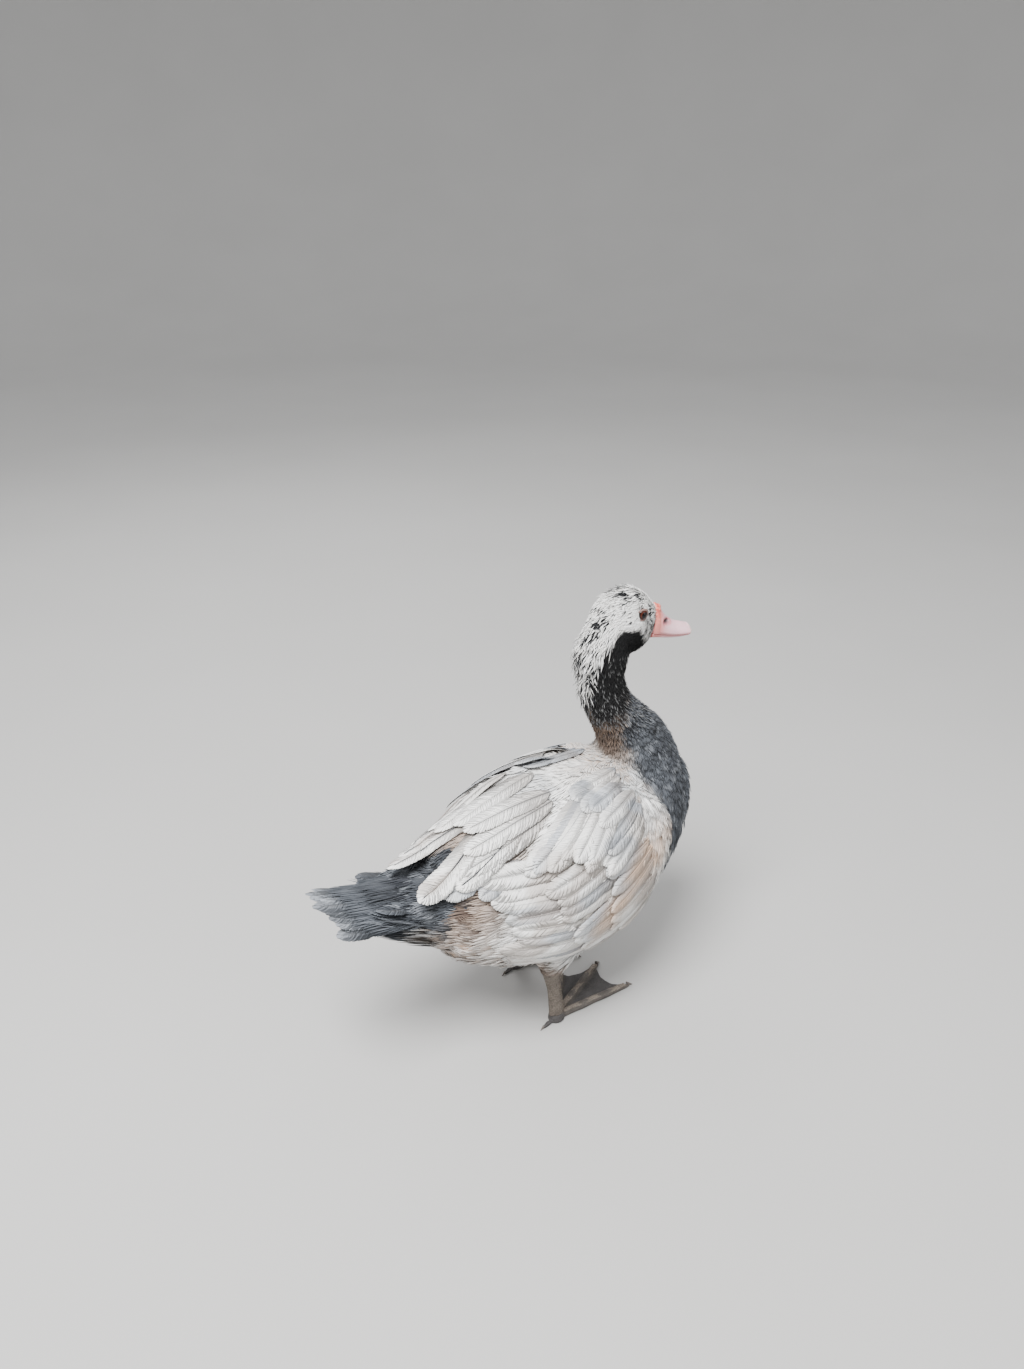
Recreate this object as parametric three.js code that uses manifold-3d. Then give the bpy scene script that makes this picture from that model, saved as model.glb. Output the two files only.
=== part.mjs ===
// A muscovy duck as a still, life-size museum model, standing with its neck up, its tail
// swung a little to its left and its right wing hanging low. Millimetres, +X forward, +Y to the
// bird's left, +Z up. The origin is under the middle of the bounding box, on the floor.
import * as THREE from 'three';
import { mergeVertices } from 'three/addons/utils/BufferGeometryUtils.js';
import Module from 'manifold-3d';

const wasm = await Module();
wasm.setup();

// Driving dimensions
const GAP = 0.3;                    // between neighbouring pieces
const FLOOR = 0;
const SECTION_POWER = 2.25;         // superellipse power of the trunk's sections
const SIDES = { left: 1, right: -1 };

// The trunk's back, belly and half width grow by these stations up to their fullest x, and
// close from there to the breast tip as superellipse quarters.
const BREAST_TIP = { x: 190, z: 222 };
const BACK = { x: [-260, -205, -150, -100, -40, 20, 78], v: [213, 217, 227, 243, 262, 273, 277], power: 2.2 };
const BELLY = { x: [-260, -205, -150, -110, -60, -10, 20], v: [190, 172, 138, 106, 82, 72, 71], power: 1.65 };
const FLANK = { x: [-260, -205, -150, -110, -60, -10, 25], v: [30, 36, 46, 62, 78, 85, 85], power: 1.8 };
const WIDEST_AT = 0.52;             // height of the widest line, as a share of the section
const TORSO_END_X = -132;

// Neck stations from inside the trunk to inside the head: centre, sagittal and side half sizes
const NECK = {
  x: [112, 122, 115, 102, 88, 76, 70, 70, 77, 87],
  z: [214, 246, 278, 302, 322, 343, 365, 387, 408, 428],
  deep: [56, 52, 43, 33, 28.5, 27, 27, 32, 32, 25],
  wide: [60, 51, 40, 31, 27, 25, 23, 24.5, 24, 20],
};

// Head: skull centre, how far the bill points down, and its turn, which is to the bird's right
const HEAD = { x: 93, z: 424, pitch: 8, turn: -14 };
const SKULL = {
  s: [-33, -28, -20, -8, 6, 18, 28, 36],      // along the head, from nape to face
  up: [7, 15, 22.5, 29.5, 32.5, 29, 21.5, 14],
  down: [8, 19, 27, 33, 37, 38, 33, 22],
  wide: [8, 15, 21, 24, 24, 20, 15.5, 11.5],
};
const EYE = { s: 11.5, side: 16.2, up: 9.2, radius: 6.2, lidTube: 1.5 };
const BILL = {
  start: 33,                        // along the head
  length: 47,
  mouth: -14.5,                     // height of the mouth line over the head's axis
  s: [0, 0.16, 0.34, 0.55, 0.74, 0.88, 0.97, 1],
  wide: [11.5, 11.2, 10.4, 9.8, 10.4, 10.6, 8.6, 4.5],
  up: [29, 25, 17.5, 12.3, 9.6, 7.6, 5.6, 3],
  down: [6, 5.6, 5, 4.4, 3.8, 3, 2.2, 1.2],
  lipGap: 0.5,
  nostril: { t: 0.3, side: 7.8, up: 13, long: 3.2, high: 1.9 },
};
const CARUNCLES = { count: 7, rowHalfAngle: 78, bulb: 2.9, high: 25.5 };

// Legs
const LEG = { y: 46, hockX: -20, hockZ: 70, heelX: -12, heelZ: 9, thighX: 4, thighZ: 118 };
const SHANK_HALF = { top: 7.6, mid: 5.2, foot: 6.4 };
const TOES = {
  names: ['inner', 'middle', 'outer'],
  turn: [24, 0, -28],               // from the foot's own line, towards the body's middle
  length: [74, 103, 102],
  half: [4.4, 5, 4.6],
};
const TOE_IN = { left: 0, right: 24 };
const FOOT_SHIFT_X = { left: 14, right: 0 };
const HALLUX = { turn: 168, length: 22, half: 2.8 };
const WEB = { low: 0.8, high: 2.8, notch: 0.8 };

// Tail: where it leaves the trunk, and how it swings and lifts
const TAIL = { x: -118, z: 186, lift: 12, swing: 11 };

/** Monotone cubic through the points (xs, ys), as a function of x. */
function curve(xs, ys) {
  const steps = xs.slice(1).map((x, i) => (ys[i + 1] - ys[i]) / (x - xs[i]));
  const slope = xs.map((_, i) => {
    if (i === 0 || i === xs.length - 1) return steps[Math.min(i, steps.length - 1)];
    const [a, b] = [steps[i - 1], steps[i]];
    return a * b <= 0 ? 0 : (2 * a * b) / (a + b);
  });
  return (x) => {
    let i = 0;
    while (i < xs.length - 2 && x > xs[i + 1]) i += 1;
    const h = xs[i + 1] - xs[i];
    const t = Math.min(1, Math.max(0, (x - xs[i]) / h));
    const [t2, t3] = [t * t, t * t * t];
    return (2 * t3 - 3 * t2 + 1) * ys[i] + (t3 - 2 * t2 + t) * h * slope[i]
      + (3 * t2 - 2 * t3) * ys[i + 1] + (t3 - t2) * h * slope[i + 1];
  };
}

const lerp = (a, b, t) => a + (b - a) * t;
const rad = THREE.MathUtils.degToRad;
const vec = (x, y, z) => new THREE.Vector3(x, y, z);

/** One of the trunk's three outlines, closed towards `end` at the breast tip. */
function outline({ x: xs, v, power }, end) {
  const rear = curve(xs, v);
  const [fullX, fullest] = [xs.at(-1), v.at(-1)];
  return (x) => {
    if (x <= fullX) return rear(x);
    const t = Math.min(1, (x - fullX) / (BREAST_TIP.x - fullX));
    return end + (fullest - end) * Math.sqrt(1 - t ** power);
  };
}
const backAt = outline(BACK, BREAST_TIP.z);
const bellyAt = outline(BELLY, BREAST_TIP.z);
const flankAt = outline(FLANK, 0);

/** A point of a superellipse section: angle 0 is up, 90 is the bird's left. */
function sectionPoint(angle, half, up, down) {
  const [s, c] = [Math.sin(rad(angle)), Math.cos(rad(angle))];
  const bend = (v) => Math.sign(v) * Math.abs(v) ** (2 / SECTION_POWER);
  return [half * bend(s), (c >= 0 ? up : down) * bend(c)];
}

/** A point on the trunk's surface at station x and angle round it, grown by `grow`. */
function trunkPoint(x, angle, grow = 0) {
  const [top, bottom] = [backAt(x), bellyAt(x)];
  const middle = lerp(bottom, top, WIDEST_AT);
  const [y, z] = sectionPoint(angle, flankAt(x) + grow, top - middle + grow, middle - bottom + grow);
  return vec(x, y, middle + z);
}

/** The trunk's outward normal there. */
function trunkNormal(x, angle) {
  const along = trunkPoint(x + 2, angle).sub(trunkPoint(x - 2, angle));
  const round = trunkPoint(x, angle + 2).sub(trunkPoint(x, angle - 2));
  return along.cross(round).normalize();
}

const onTrunk = (x, angle, lift) => trunkPoint(x, angle).addScaledVector(trunkNormal(x, angle), lift);

/** A closed solid through rings of equal point count, flat caps at both ends. */
function loft(rings) {
  const n = rings[0].length;
  const position = [];
  const index = [];
  rings.flat().forEach((p) => position.push(p.x, p.y, p.z));
  for (let r = 0; r < rings.length - 1; r += 1) {
    for (let i = 0; i < n; i += 1) {
      const [a, b] = [r * n + i, r * n + ((i + 1) % n)];
      index.push(a, b, b + n, a, b + n, a + n);
    }
  }
  [0, rings.length - 1].forEach((r) => {
    const centre = rings[r].reduce((sum, p) => sum.add(p), vec(0, 0, 0)).divideScalar(n);
    const hub = position.length / 3;
    position.push(centre.x, centre.y, centre.z);
    for (let i = 0; i < n; i += 1) {
      const [a, b] = [r * n + i, r * n + ((i + 1) % n)];
      index.push(...(r === 0 ? [hub, b, a] : [hub, a, b]));
    }
  });
  return solidOf(new THREE.BufferGeometry()
    .setAttribute('position', new THREE.Float32BufferAttribute(position, 3))
    .setIndex(index));
}

/** A manifold solid of a closed geometry, turned face out. */
function solidOf(geometry) {
  const bare = new THREE.BufferGeometry().setAttribute('position', geometry.getAttribute('position'));
  if (geometry.index) bare.setIndex(geometry.index);
  const merged = mergeVertices(bare, 1e-3);
  const build = (flip) => {
    const triVerts = new Uint32Array(merged.index.array);
    if (flip) {
      for (let i = 0; i < triVerts.length; i += 3) {
        [triVerts[i + 1], triVerts[i + 2]] = [triVerts[i + 2], triVerts[i + 1]];
      }
    }
    return new wasm.Manifold(new wasm.Mesh({
      numProp: 3,
      vertProperties: new Float32Array(merged.attributes.position.array),
      triVerts,
    }));
  };
  const made = build(false);
  return made.volume() < 0 ? build(true) : made;
}

/** The solids joined, keeping only the largest closed body. */
function joined(solids) {
  let all = solids[0];
  solids.slice(1).forEach((s) => { all = all.add(s); });
  return largest(all);
}

/** The solid's largest closed surface, filled: sealed hollows and loose scraps go. */
function largest(solid) {
  const { vertProperties, triVerts } = solid.getMesh();
  const owner = Array.from({ length: vertProperties.length / 3 }, (_, i) => i);
  const find = (i) => {
    let at = i;
    while (owner[at] !== at) at = owner[at];
    owner[i] = at;
    return at;
  };
  for (let i = 0; i < triVerts.length; i += 3) {
    owner[find(triVerts[i + 1])] = find(triVerts[i]);
    owner[find(triVerts[i + 2])] = find(triVerts[i]);
  }
  const surfaces = new Map();
  for (let i = 0; i < triVerts.length; i += 3) {
    const key = find(triVerts[i]);
    if (!surfaces.has(key)) surfaces.set(key, []);
    surfaces.get(key).push(...triVerts.slice(i, i + 3));
  }
  if (surfaces.size === 1) return solid;
  const bodies = [...surfaces.values()].map((tris) => solidOf(new THREE.BufferGeometry()
    .setAttribute('position', new THREE.Float32BufferAttribute(vertProperties, 3))
    .setIndex(tris)));
  return bodies.sort((a, b) => b.volume() - a.volume())[0];
}

/** A ball or oval at `centre`, its axes turned by the matrix `basis`. */
function oval(centre, radii, basis, segments = 16, rows = 10) {
  const g = new THREE.SphereGeometry(1, segments, rows);
  g.scale(...radii);
  if (basis) g.applyMatrix4(basis);
  g.translate(centre.x, centre.y, centre.z);
  return solidOf(g);
}

// Feather vanes and locks

/**
 * A feather's vane along `path`, which gives a point and the outward normal for t from 0 to 1.
 * Both faces are split into the same triangles. `shape` holds half width, thickness and camber.
 */
const VANE_STEPS = [0, 0.3, 0.62, 0.86, 1];
const VANE_WIDTHS = [0.5, 0.86, 1, 0.82, 0.26];
const COVERT = { steps: [0, 0.5, 0.85, 1], widths: [0.6, 1, 0.84, 0.3] };
function vane(path, { half, thick, roll = 0, grow = 0, camber = 0.08, steps = VANE_STEPS, widths = VANE_WIDTHS }) {
  const rings = steps.map((t, i) => {
    const { p, n } = path(t);
    const ahead = path(Math.min(1, t + 0.02)).p.clone();
    const behind = path(Math.max(0, t - 0.02)).p.clone();
    const along = ahead.sub(behind).normalize();
    const across = n.clone().cross(along).normalize().applyAxisAngle(along, rad(roll));
    const w = half * widths[i] + grow;
    const middle = p.clone().addScaledVector(along, t === 1 ? grow : 0);
    const place = (side, height) => middle.clone().addScaledVector(across, side * w).addScaledVector(n, height);
    const drop = -camber * w;
    const upper = thick / 2 + grow;
    if (!camber) return [place(-1, upper), place(1, upper), place(1, -upper), place(-1, -upper)];
    return [
      place(-1, drop + upper), place(0, upper), place(1, drop + upper),
      place(1, drop - upper), place(0, -upper), place(-1, drop - upper),
    ];
  });
  return loft(rings);
}

/** A row of vanes on the trunk, from the row's first feather to its last. */
function trunkTier(tier, side, grow) {
  const vanes = [];
  for (let i = 0; i < tier.count; i += 1) {
    const f = tier.count === 1 ? 0 : i / (tier.count - 1);
    const [x0, a0] = [lerp(tier.root[0][0], tier.root[1][0], f), lerp(tier.root[0][1], tier.root[1][1], f)];
    const bow = (tier.bow ?? 0) * Math.sin(Math.PI * f);
    const [x1, a1] = [lerp(tier.tip[0][0], tier.tip[1][0], f) - bow, lerp(tier.tip[0][1], tier.tip[1][1], f)];
    const stack = (tier.stack ?? 0) * f;
    const path = (t) => {
      const x = lerp(x0, x1, t);
      const angle = side * lerp(a0, a1, t ** 0.9);
      const lift = lerp(tier.lift[0], tier.lift[1], t) + stack;
      return { p: onTrunk(x, angle, lift), n: trunkNormal(x, angle) };
    };
    vanes.push(vane(path, { half: lerp(tier.half[0], tier.half[1], f), thick: tier.thick, roll: side * (tier.roll ?? 8), camber: 0, grow, ...tier.form }));
  }
  return vanes;
}

// Trunk

function trunkSolid(grow = 0, from = TORSO_END_X, to = BREAST_TIP.x, ribs = 15, sides = 28) {
  const rings = [];
  for (let i = 0; i <= ribs; i += 1) {
    const share = Math.sin((i / ribs) * Math.PI / 2) ** 0.85;
    const x = lerp(from, to - 0.6, share);
    rings.push(Array.from({ length: sides }, (_, k) => trunkPoint(x, (360 * k) / sides, grow)));
  }
  return loft(rings);
}

// Neck

const neckSpine = {
  t: NECK.z.map((_, i) => i / (NECK.z.length - 1)),
};
neckSpine.x = curve(neckSpine.t, NECK.x);
neckSpine.z = curve(neckSpine.t, NECK.z);
neckSpine.deep = curve(neckSpine.t, NECK.deep);
neckSpine.wide = curve(neckSpine.t, NECK.wide);

/** A point on the neck at share t, angle 0 at the nape, 90 on the bird's left. */
function neckPoint(t, angle, grow = 0) {
  const d = 0.01;
  const along = vec(neckSpine.x(t + d) - neckSpine.x(t - d), 0, neckSpine.z(t + d) - neckSpine.z(t - d));
  along.normalize();
  const back = vec(-along.z, 0, along.x);
  const [s, c] = [Math.sin(rad(angle)), Math.cos(rad(angle))];
  return vec(neckSpine.x(t), 0, neckSpine.z(t))
    .addScaledVector(back, c * (neckSpine.deep(t) + grow))
    .add(vec(0, s * (neckSpine.wide(t) + grow), 0));
}

function neckSolid(grow = 0) {
  const [ribs, sides] = [16, 20];
  return loft(Array.from({ length: ribs + 1 }, (_, i) => {
    const t = lerp(0.02, 0.98, i / ribs);
    return Array.from({ length: sides }, (_, k) => neckPoint(t, (360 * k) / sides, grow));
  }));
}

// Head

const turned = (x, z) => vec(x * Math.cos(rad(HEAD.turn)), x * Math.sin(rad(HEAD.turn)), z);
const headForward = turned(Math.cos(rad(HEAD.pitch)), -Math.sin(rad(HEAD.pitch)));
const headUp = turned(Math.sin(rad(HEAD.pitch)), Math.cos(rad(HEAD.pitch)));
const headSide = headUp.clone().cross(headForward);
const headBasis = new THREE.Matrix4().makeBasis(headForward, headSide, headUp);
const skull = {
  up: curve(SKULL.s, SKULL.up),
  down: curve(SKULL.s, SKULL.down),
  wide: curve(SKULL.s, SKULL.wide),
};

/** The head's own measures (forward, left, up) as a point of the bird. */
const onHead = (s, y, u) => vec(HEAD.x, 0, HEAD.z)
  .addScaledVector(headForward, s).addScaledVector(headSide, y).addScaledVector(headUp, u);

function skullPoint(s, angle, grow = 0) {
  const [sin, cos] = [Math.sin(rad(angle)), Math.cos(rad(angle))];
  const reach = (cos >= 0 ? skull.up(s) : skull.down(s)) + grow;
  return onHead(s, sin * (skull.wide(s) + grow), cos * reach);
}

function skullSolid(grow = 0) {
  const sides = 18;
  const ribs = 12;
  return loft(Array.from({ length: ribs + 1 }, (_, i) => {
    const share = 0.5 - 0.5 * Math.cos((Math.PI * i) / ribs);
    const s = lerp(SKULL.s[0] - grow, SKULL.s.at(-1) + grow, share);
    return Array.from({ length: sides }, (_, k) => skullPoint(s, (360 * k) / sides, grow));
  }));
}

function eyeCentre(side, out = 0) {
  return onHead(EYE.s, side * (EYE.side + out), EYE.up);
}

function headSolid() {
  let head = skullSolid();
  Object.values(SIDES).forEach((side) => {
    const lid = new THREE.TorusGeometry(EYE.radius * 0.98, EYE.lidTube, 6, 14);
    lid.scale(1.06, 0.92, 1);
    lid.rotateX(Math.PI / 2);
    lid.applyMatrix4(headBasis);
    const at = eyeCentre(side, 2.2);
    lid.translate(at.x, at.y, at.z);
    head = head.add(solidOf(lid));
    head = head.subtract(oval(eyeCentre(side), Array(3).fill(EYE.radius + GAP), headBasis, 14, 10));
  });
  return head;
}

// Bill

function billRing(t, lower, grow = 0) {
  const s = BILL.start + BILL.length * t;
  const wide = curve(BILL.s, BILL.wide)(t) + grow;
  const reach = curve(BILL.s, lower ? BILL.down : BILL.up)(t) + grow;
  const edge = BILL.mouth + (lower ? -BILL.lipGap / 2 : BILL.lipGap / 2) - 1.6 * Math.sin(Math.PI * t) ** 2;
  const ring = [];
  const arc = 9;
  for (let k = 0; k <= arc; k += 1) {
    const a = Math.PI * (k / arc);
    const y = wide * Math.cos(a);
    const u = reach * Math.sin(a) ** 0.9;
    ring.push(onHead(s, y * (lower ? 0.9 : 1), edge + (lower ? -u : u)));
  }
  return ring;
}

function billSolid(lower) {
  const ts = [0, 0.12, 0.25, 0.4, 0.56, 0.72, 0.85, 0.94, 1];
  let bill = loft(ts.map((t) => billRing(lower ? t * 0.965 : t, lower)));
  if (!lower) {
    const { t, side: out, up, long, high } = BILL.nostril;
    Object.values(SIDES).forEach((side) => {
      const at = onHead(BILL.start + BILL.length * t, side * out, BILL.mouth + up);
      bill = bill.subtract(oval(at, [long, 2.6, high], headBasis, 12, 8));
    });
  }
  return bill;
}

/** Bare warty skin over the root of the bill: a collar with bulbs on it and a knob on top. */
function caruncleSolid() {
  const collar = loft([0.04, 0.1, 0.16].map((t, i) => billRing(t, false, [3, 2.8, 1.4][i])));
  const bulbs = [collar];
  for (let i = 0; i < CARUNCLES.count; i += 1) {
    const f = (2 * i) / (CARUNCLES.count - 1) - 1;
    const s = BILL.start + 5.6 - 2 * Math.abs(f) + 0.6 * (i % 2);
    const angle = rad(f * CARUNCLES.rowHalfAngle);
    const size = CARUNCLES.bulb * (1.3 - 0.5 * Math.abs(f)) * (i % 2 ? 0.9 : 1.08);
    const at = onHead(s, 11.8 * Math.sin(angle), BILL.mouth + CARUNCLES.high * Math.cos(angle));
    bulbs.push(oval(at, [size * 0.9, size, size], headBasis, 8, 6));
  }
  return joined(bulbs);
}

// Legs and feet

function shankSolid(side) {
  const rings = [];
  const scutes = 8;
  for (let i = 0; i <= scutes * 2; i += 1) {
    const t = i / (scutes * 2);
    const half = curve([0, 0.45, 1], [SHANK_HALF.top, SHANK_HALF.mid, SHANK_HALF.foot])(t) + (i % 2 ? 0.45 : 0);
    const centre = vec(lerp(LEG.hockX, LEG.heelX, t), side * LEG.y, lerp(LEG.hockZ - GAP, LEG.heelZ, t));
    centre.x += footShift(side);
    rings.push(Array.from({ length: 12 }, (_, k) => {
      const a = (2 * Math.PI * k) / 12;
      return centre.clone().add(vec(1.25 * half * Math.cos(a), 0.86 * half * Math.sin(a), 0));
    }));
  }
  return loft(rings);
}

const sideName = (side) => (side > 0 ? 'left' : 'right');
const footShift = (side) => FOOT_SHIFT_X[sideName(side)];

function thighSolid(side) {
  const rings = [0, 0.25, 0.5, 0.75, 0.92, 1].map((t) => {
    const centre = vec(
      lerp(LEG.thighX, LEG.hockX, t ** 0.8) + footShift(side) * t,
      side * lerp(LEG.y - 2, LEG.y, t),
      lerp(LEG.thighZ, LEG.hockZ, t),
    );
    const half = curve([0, 0.5, 0.85, 1], [28, 23, 14, 10.5])(t);
    return Array.from({ length: 16 }, (_, k) => {
      const a = (2 * Math.PI * k) / 16;
      return centre.clone().add(vec(1.12 * half * Math.cos(a), 0.86 * half * Math.sin(a), 0));
    });
  });
  return loft(rings);
}

/** A toe as a tapering tube with knuckles and a claw, from the ankle outwards on the floor. */
function toeSolid(start, heading, length, half) {
  const forward = vec(Math.cos(heading), Math.sin(heading), 0);
  const across = vec(-Math.sin(heading), Math.cos(heading), 0);
  const stations = [0, 0.22, 0.34, 0.48, 0.6, 0.76, 0.88, 1];
  const sizes = [0.98, 0.86, 0.98, 0.78, 0.92, 0.72, 0.58, 0.12];
  return loft(stations.map((t, i) => {
    const r = half * sizes[i];
    const centre = start.clone().addScaledVector(forward, length * t);
    centre.z = r * 0.72 + (i === stations.length - 1 ? 0.6 : 0);
    return Array.from({ length: 8 }, (_, k) => {
      const a = (2 * Math.PI * k) / 8;
      return centre.clone().addScaledVector(across, r * Math.cos(a)).add(vec(0, 0, r * Math.sin(a)));
    });
  }));
}

function footSolid(side) {
  const ankle = vec(LEG.heelX + footShift(side), side * LEG.y, 0);
  const line = -side * rad(TOE_IN[sideName(side)]);
  const headingOf = (turn) => line - side * rad(turn);
  const pieces = TOES.turn.map((turn, i) => toeSolid(ankle, headingOf(turn), TOES.length[i], TOES.half[i]));
  pieces.push(toeSolid(ankle, headingOf(HALLUX.turn), HALLUX.length, HALLUX.half));
  const padTop = LEG.heelZ - GAP;
  const pad = new THREE.CylinderGeometry(7.6, 8.6, padTop, 12);
  pad.rotateX(Math.PI / 2);
  pad.translate(ankle.x, ankle.y, padTop / 2);
  pieces.push(solidOf(pad));
  const outlinePoints = [ankle];
  TOES.turn.forEach((turn, i) => {
    const reach = TOES.length[i] * 0.88;
    outlinePoints.push(ankle.clone().add(vec(Math.cos(headingOf(turn)), Math.sin(headingOf(turn)), 0).multiplyScalar(reach)));
    if (i < TOES.turn.length - 1) {
      const between = headingOf((turn + TOES.turn[i + 1]) / 2);
      const notch = (TOES.length[i] + TOES.length[i + 1]) * 0.5 * WEB.notch;
      outlinePoints.push(ankle.clone().add(vec(Math.cos(between), Math.sin(between), 0).multiplyScalar(notch)));
    }
  });
  const web = new THREE.ExtrudeGeometry(
    new THREE.Shape(outlinePoints.map((p) => new THREE.Vector2(p.x, p.y))),
    { depth: WEB.high - WEB.low, bevelEnabled: false },
  );
  web.translate(0, 0, WEB.low);
  pieces.push(solidOf(web));
  return joined(pieces).trimByPlane([0, 0, 1], FLOOR);
}

// Tail

const tailBack = vec(-Math.cos(rad(TAIL.lift)) * Math.cos(rad(TAIL.swing)), Math.cos(rad(TAIL.lift)) * Math.sin(rad(TAIL.swing)), Math.sin(rad(TAIL.lift)));
const tailAcross = vec(Math.sin(rad(TAIL.swing)), Math.cos(rad(TAIL.swing)), 0);
const tailUp = tailAcross.clone().cross(tailBack).normalize();
if (tailUp.z < 0) tailUp.negate();
const onTail = (s, y, u) => vec(TAIL.x, 0, TAIL.z)
  .addScaledVector(tailBack, s).addScaledVector(tailAcross, y).addScaledVector(tailUp, u);

const TAIL_CORE = {
  s: [-4, 8, 26, 48, 66, 80],
  half: [50, 49, 44, 36, 28, 19],
  up: [38, 36, 27, 16, 8, 4],
  down: [60, 54, 38, 20, 9, 4],
};

function tailCore(grow = 0) {
  const rings = TAIL_CORE.s.map((s, i) => Array.from({ length: 18 }, (_, k) => {
    const [y, u] = sectionPoint((360 * k) / 18, TAIL_CORE.half[i] + grow, TAIL_CORE.up[i] + grow, TAIL_CORE.down[i] + grow);
    return onTail(s, y, u);
  }));
  return loft(rings);
}

/** A fan of vanes from the tail's core, the middle ones highest. */
function tailFan({ count, spread, root, reach, half, thick, height, sag, stagger }) {
  return Array.from({ length: count }, (_, i) => {
    const f = (2 * i) / (count - 1) - 1;
    const turn = rad(spread * f);
    const layer = stagger * (1 - Math.abs(f));
    const length = reach * (1 - 0.12 * f * f);
    const path = (t) => {
      const s = root + length * t * Math.cos(turn);
      const y = lerp(24, 26, t) * f * 0.85 + length * t * Math.sin(turn);
      const u = lerp(height[0], height[1], t) + layer - sag * f * f;
      return { p: onTail(s, y, u), n: tailUp.clone().addScaledVector(tailAcross, 0.35 * f).normalize() };
    };
    return vane(path, { half, thick, roll: -7 * Math.sign(f) * Math.sign(stagger), camber: 0 });
  });
}

const TAIL_FANS = [
  { count: 10, spread: 17, root: 28, reach: 98, half: 11, thick: 1, height: [0, 0], sag: 12, stagger: 3 },
  { count: 6, spread: 20, root: 6, reach: 74, half: 13, thick: 1, height: [17, 5], sag: 16, stagger: 3 },
  { count: 5, spread: 14, root: 2, reach: 66, half: 13, thick: 1, height: [-17, -5], sag: -12, stagger: -3 },
];

// Wings

/** The wing's padded arm: a crescent shell over the trunk, between two edge angles. */
function wingPad(layout, side) {
  const upper = curve(layout.pad.x, layout.pad.top);
  const lower = curve(layout.pad.x, layout.pad.bottom);
  const thick = curve(layout.pad.x, layout.pad.thick);
  const [ribs, steps] = [9, 7];
  const rings = Array.from({ length: ribs + 1 }, (_, i) => {
    const x = lerp(layout.pad.x[0], layout.pad.x.at(-1), i / ribs);
    const at = (k) => side * lerp(upper(x), lower(x), k / steps);
    const ring = [];
    for (let k = 0; k <= steps; k += 1) {
      ring.push(onTrunk(x, at(k), GAP + 0.5 + thick(x) * Math.sin(Math.PI * (k + 0.35) / (steps + 0.7)) ** 0.5));
    }
    for (let k = steps; k >= 0; k -= 1) ring.push(onTrunk(x, at(k), GAP));
    return ring;
  });
  return loft(rings);
}

const WINGS = {
  left: {
    pad: { x: [-70, -40, 0, 50, 90, 118], top: [40, 24, 20, 26, 40, 66], bottom: [86, 98, 108, 112, 106, 86], thick: [4, 6.5, 8.5, 9.5, 8, 3] },
    tiers: [
      { count: 3, root: [[-30, 86], [-30, 66]], tip: [[-178, 56], [-150, 40]], half: [11, 11], lift: [2.6, 4.4], stack: 0.6, thick: 1, roll: 11 },
      { count: 6, root: [[-12, 104], [-34, 58]], tip: [[-88, 98], [-140, 44]], half: [12, 13], lift: [3.6, 5.2], stack: 0.8, thick: 1 },
      { count: 4, root: [[-20, 48], [-30, 26]], tip: [[-150, 36], [-128, 12]], half: [13, 14], lift: [5, 7], stack: 1.2, thick: 1, roll: 11 },
      { count: 6, root: [[38, 104], [14, 40]], tip: [[-34, 104], [-70, 44]], half: [13, 15], lift: [7, 9.6], stack: 0.4, thick: 1, form: COVERT },
      { count: 6, root: [[78, 100], [58, 44]], tip: [[26, 104], [4, 42]], half: [12, 14], lift: [8.4, 11.4], stack: 0.3, thick: 1, form: COVERT },
    ],
  },
  right: {
    pad: { x: [-55, -30, 10, 50, 85, 112], top: [46, 30, 24, 28, 44, 70], bottom: [98, 117, 123, 120, 110, 90], thick: [4, 6.4, 8.4, 9.3, 8, 3] },
    tiers: [
      { count: 4, root: [[20, 122], [0, 108]], tip: [[-80, 128], [-98, 106]], half: [11, 11], lift: [2.7, 4.2], stack: 0.6, thick: 1, roll: 10 },
      { count: 6, root: [[-2, 110], [-22, 60]], tip: [[-74, 110], [-112, 60]], half: [12, 13], lift: [3.6, 5.2], stack: 0.8, thick: 1 },
      { count: 4, root: [[-16, 52], [-26, 28]], tip: [[-142, 42], [-120, 14]], half: [13, 14], lift: [5, 7], stack: 1.2, thick: 1, roll: 11 },
      { count: 6, root: [[42, 114], [12, 44]], tip: [[-24, 120], [-62, 50]], half: [13, 15], lift: [7, 10], stack: 0.5, thick: 1, form: COVERT },
      { count: 6, root: [[76, 106], [54, 48]], tip: [[28, 114], [0, 48]], half: [12, 14], lift: [8.4, 11.4], stack: 0.3, thick: 1, form: COVERT },
    ],
  },
};

function wingSolid(name, grow = 0) {
  const side = SIDES[name];
  const layout = WINGS[name];
  return joined([wingPad(layout, side), ...layout.tiers.flatMap((tier) => trunkTier(tier, side, grow))]);
}

// Crest locks

/** Tapered locks over the back of the crown, or down the nape, from `rows` of roots. */
const LOCK_STEPS = [0, 0.35, 0.7, 1];
const LOCK_WIDTHS = [0.7, 1, 0.72, 0.16];
function locks(rows, surface) {
  return rows.flatMap((row) => Array.from({ length: row.count }, (_, i) => {
    const f = row.count === 1 ? 0 : (2 * i) / (row.count - 1) - 1;
    const path = (t) => {
      const place = (u, lift) => surface(lerp(row.from, row.to, u), row.half * f * (1 - 0.25 * u), lift);
      const p = place(t, lerp(row.lift[0], row.lift[1], t ** 1.4));
      const n = place(t, 1).sub(place(t, 0)).normalize();
      return { p, n };
    };
    return vane(path, { half: row.wide, thick: row.thick, camber: 0.3, steps: LOCK_STEPS, widths: LOCK_WIDTHS });
  }));
}

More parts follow.
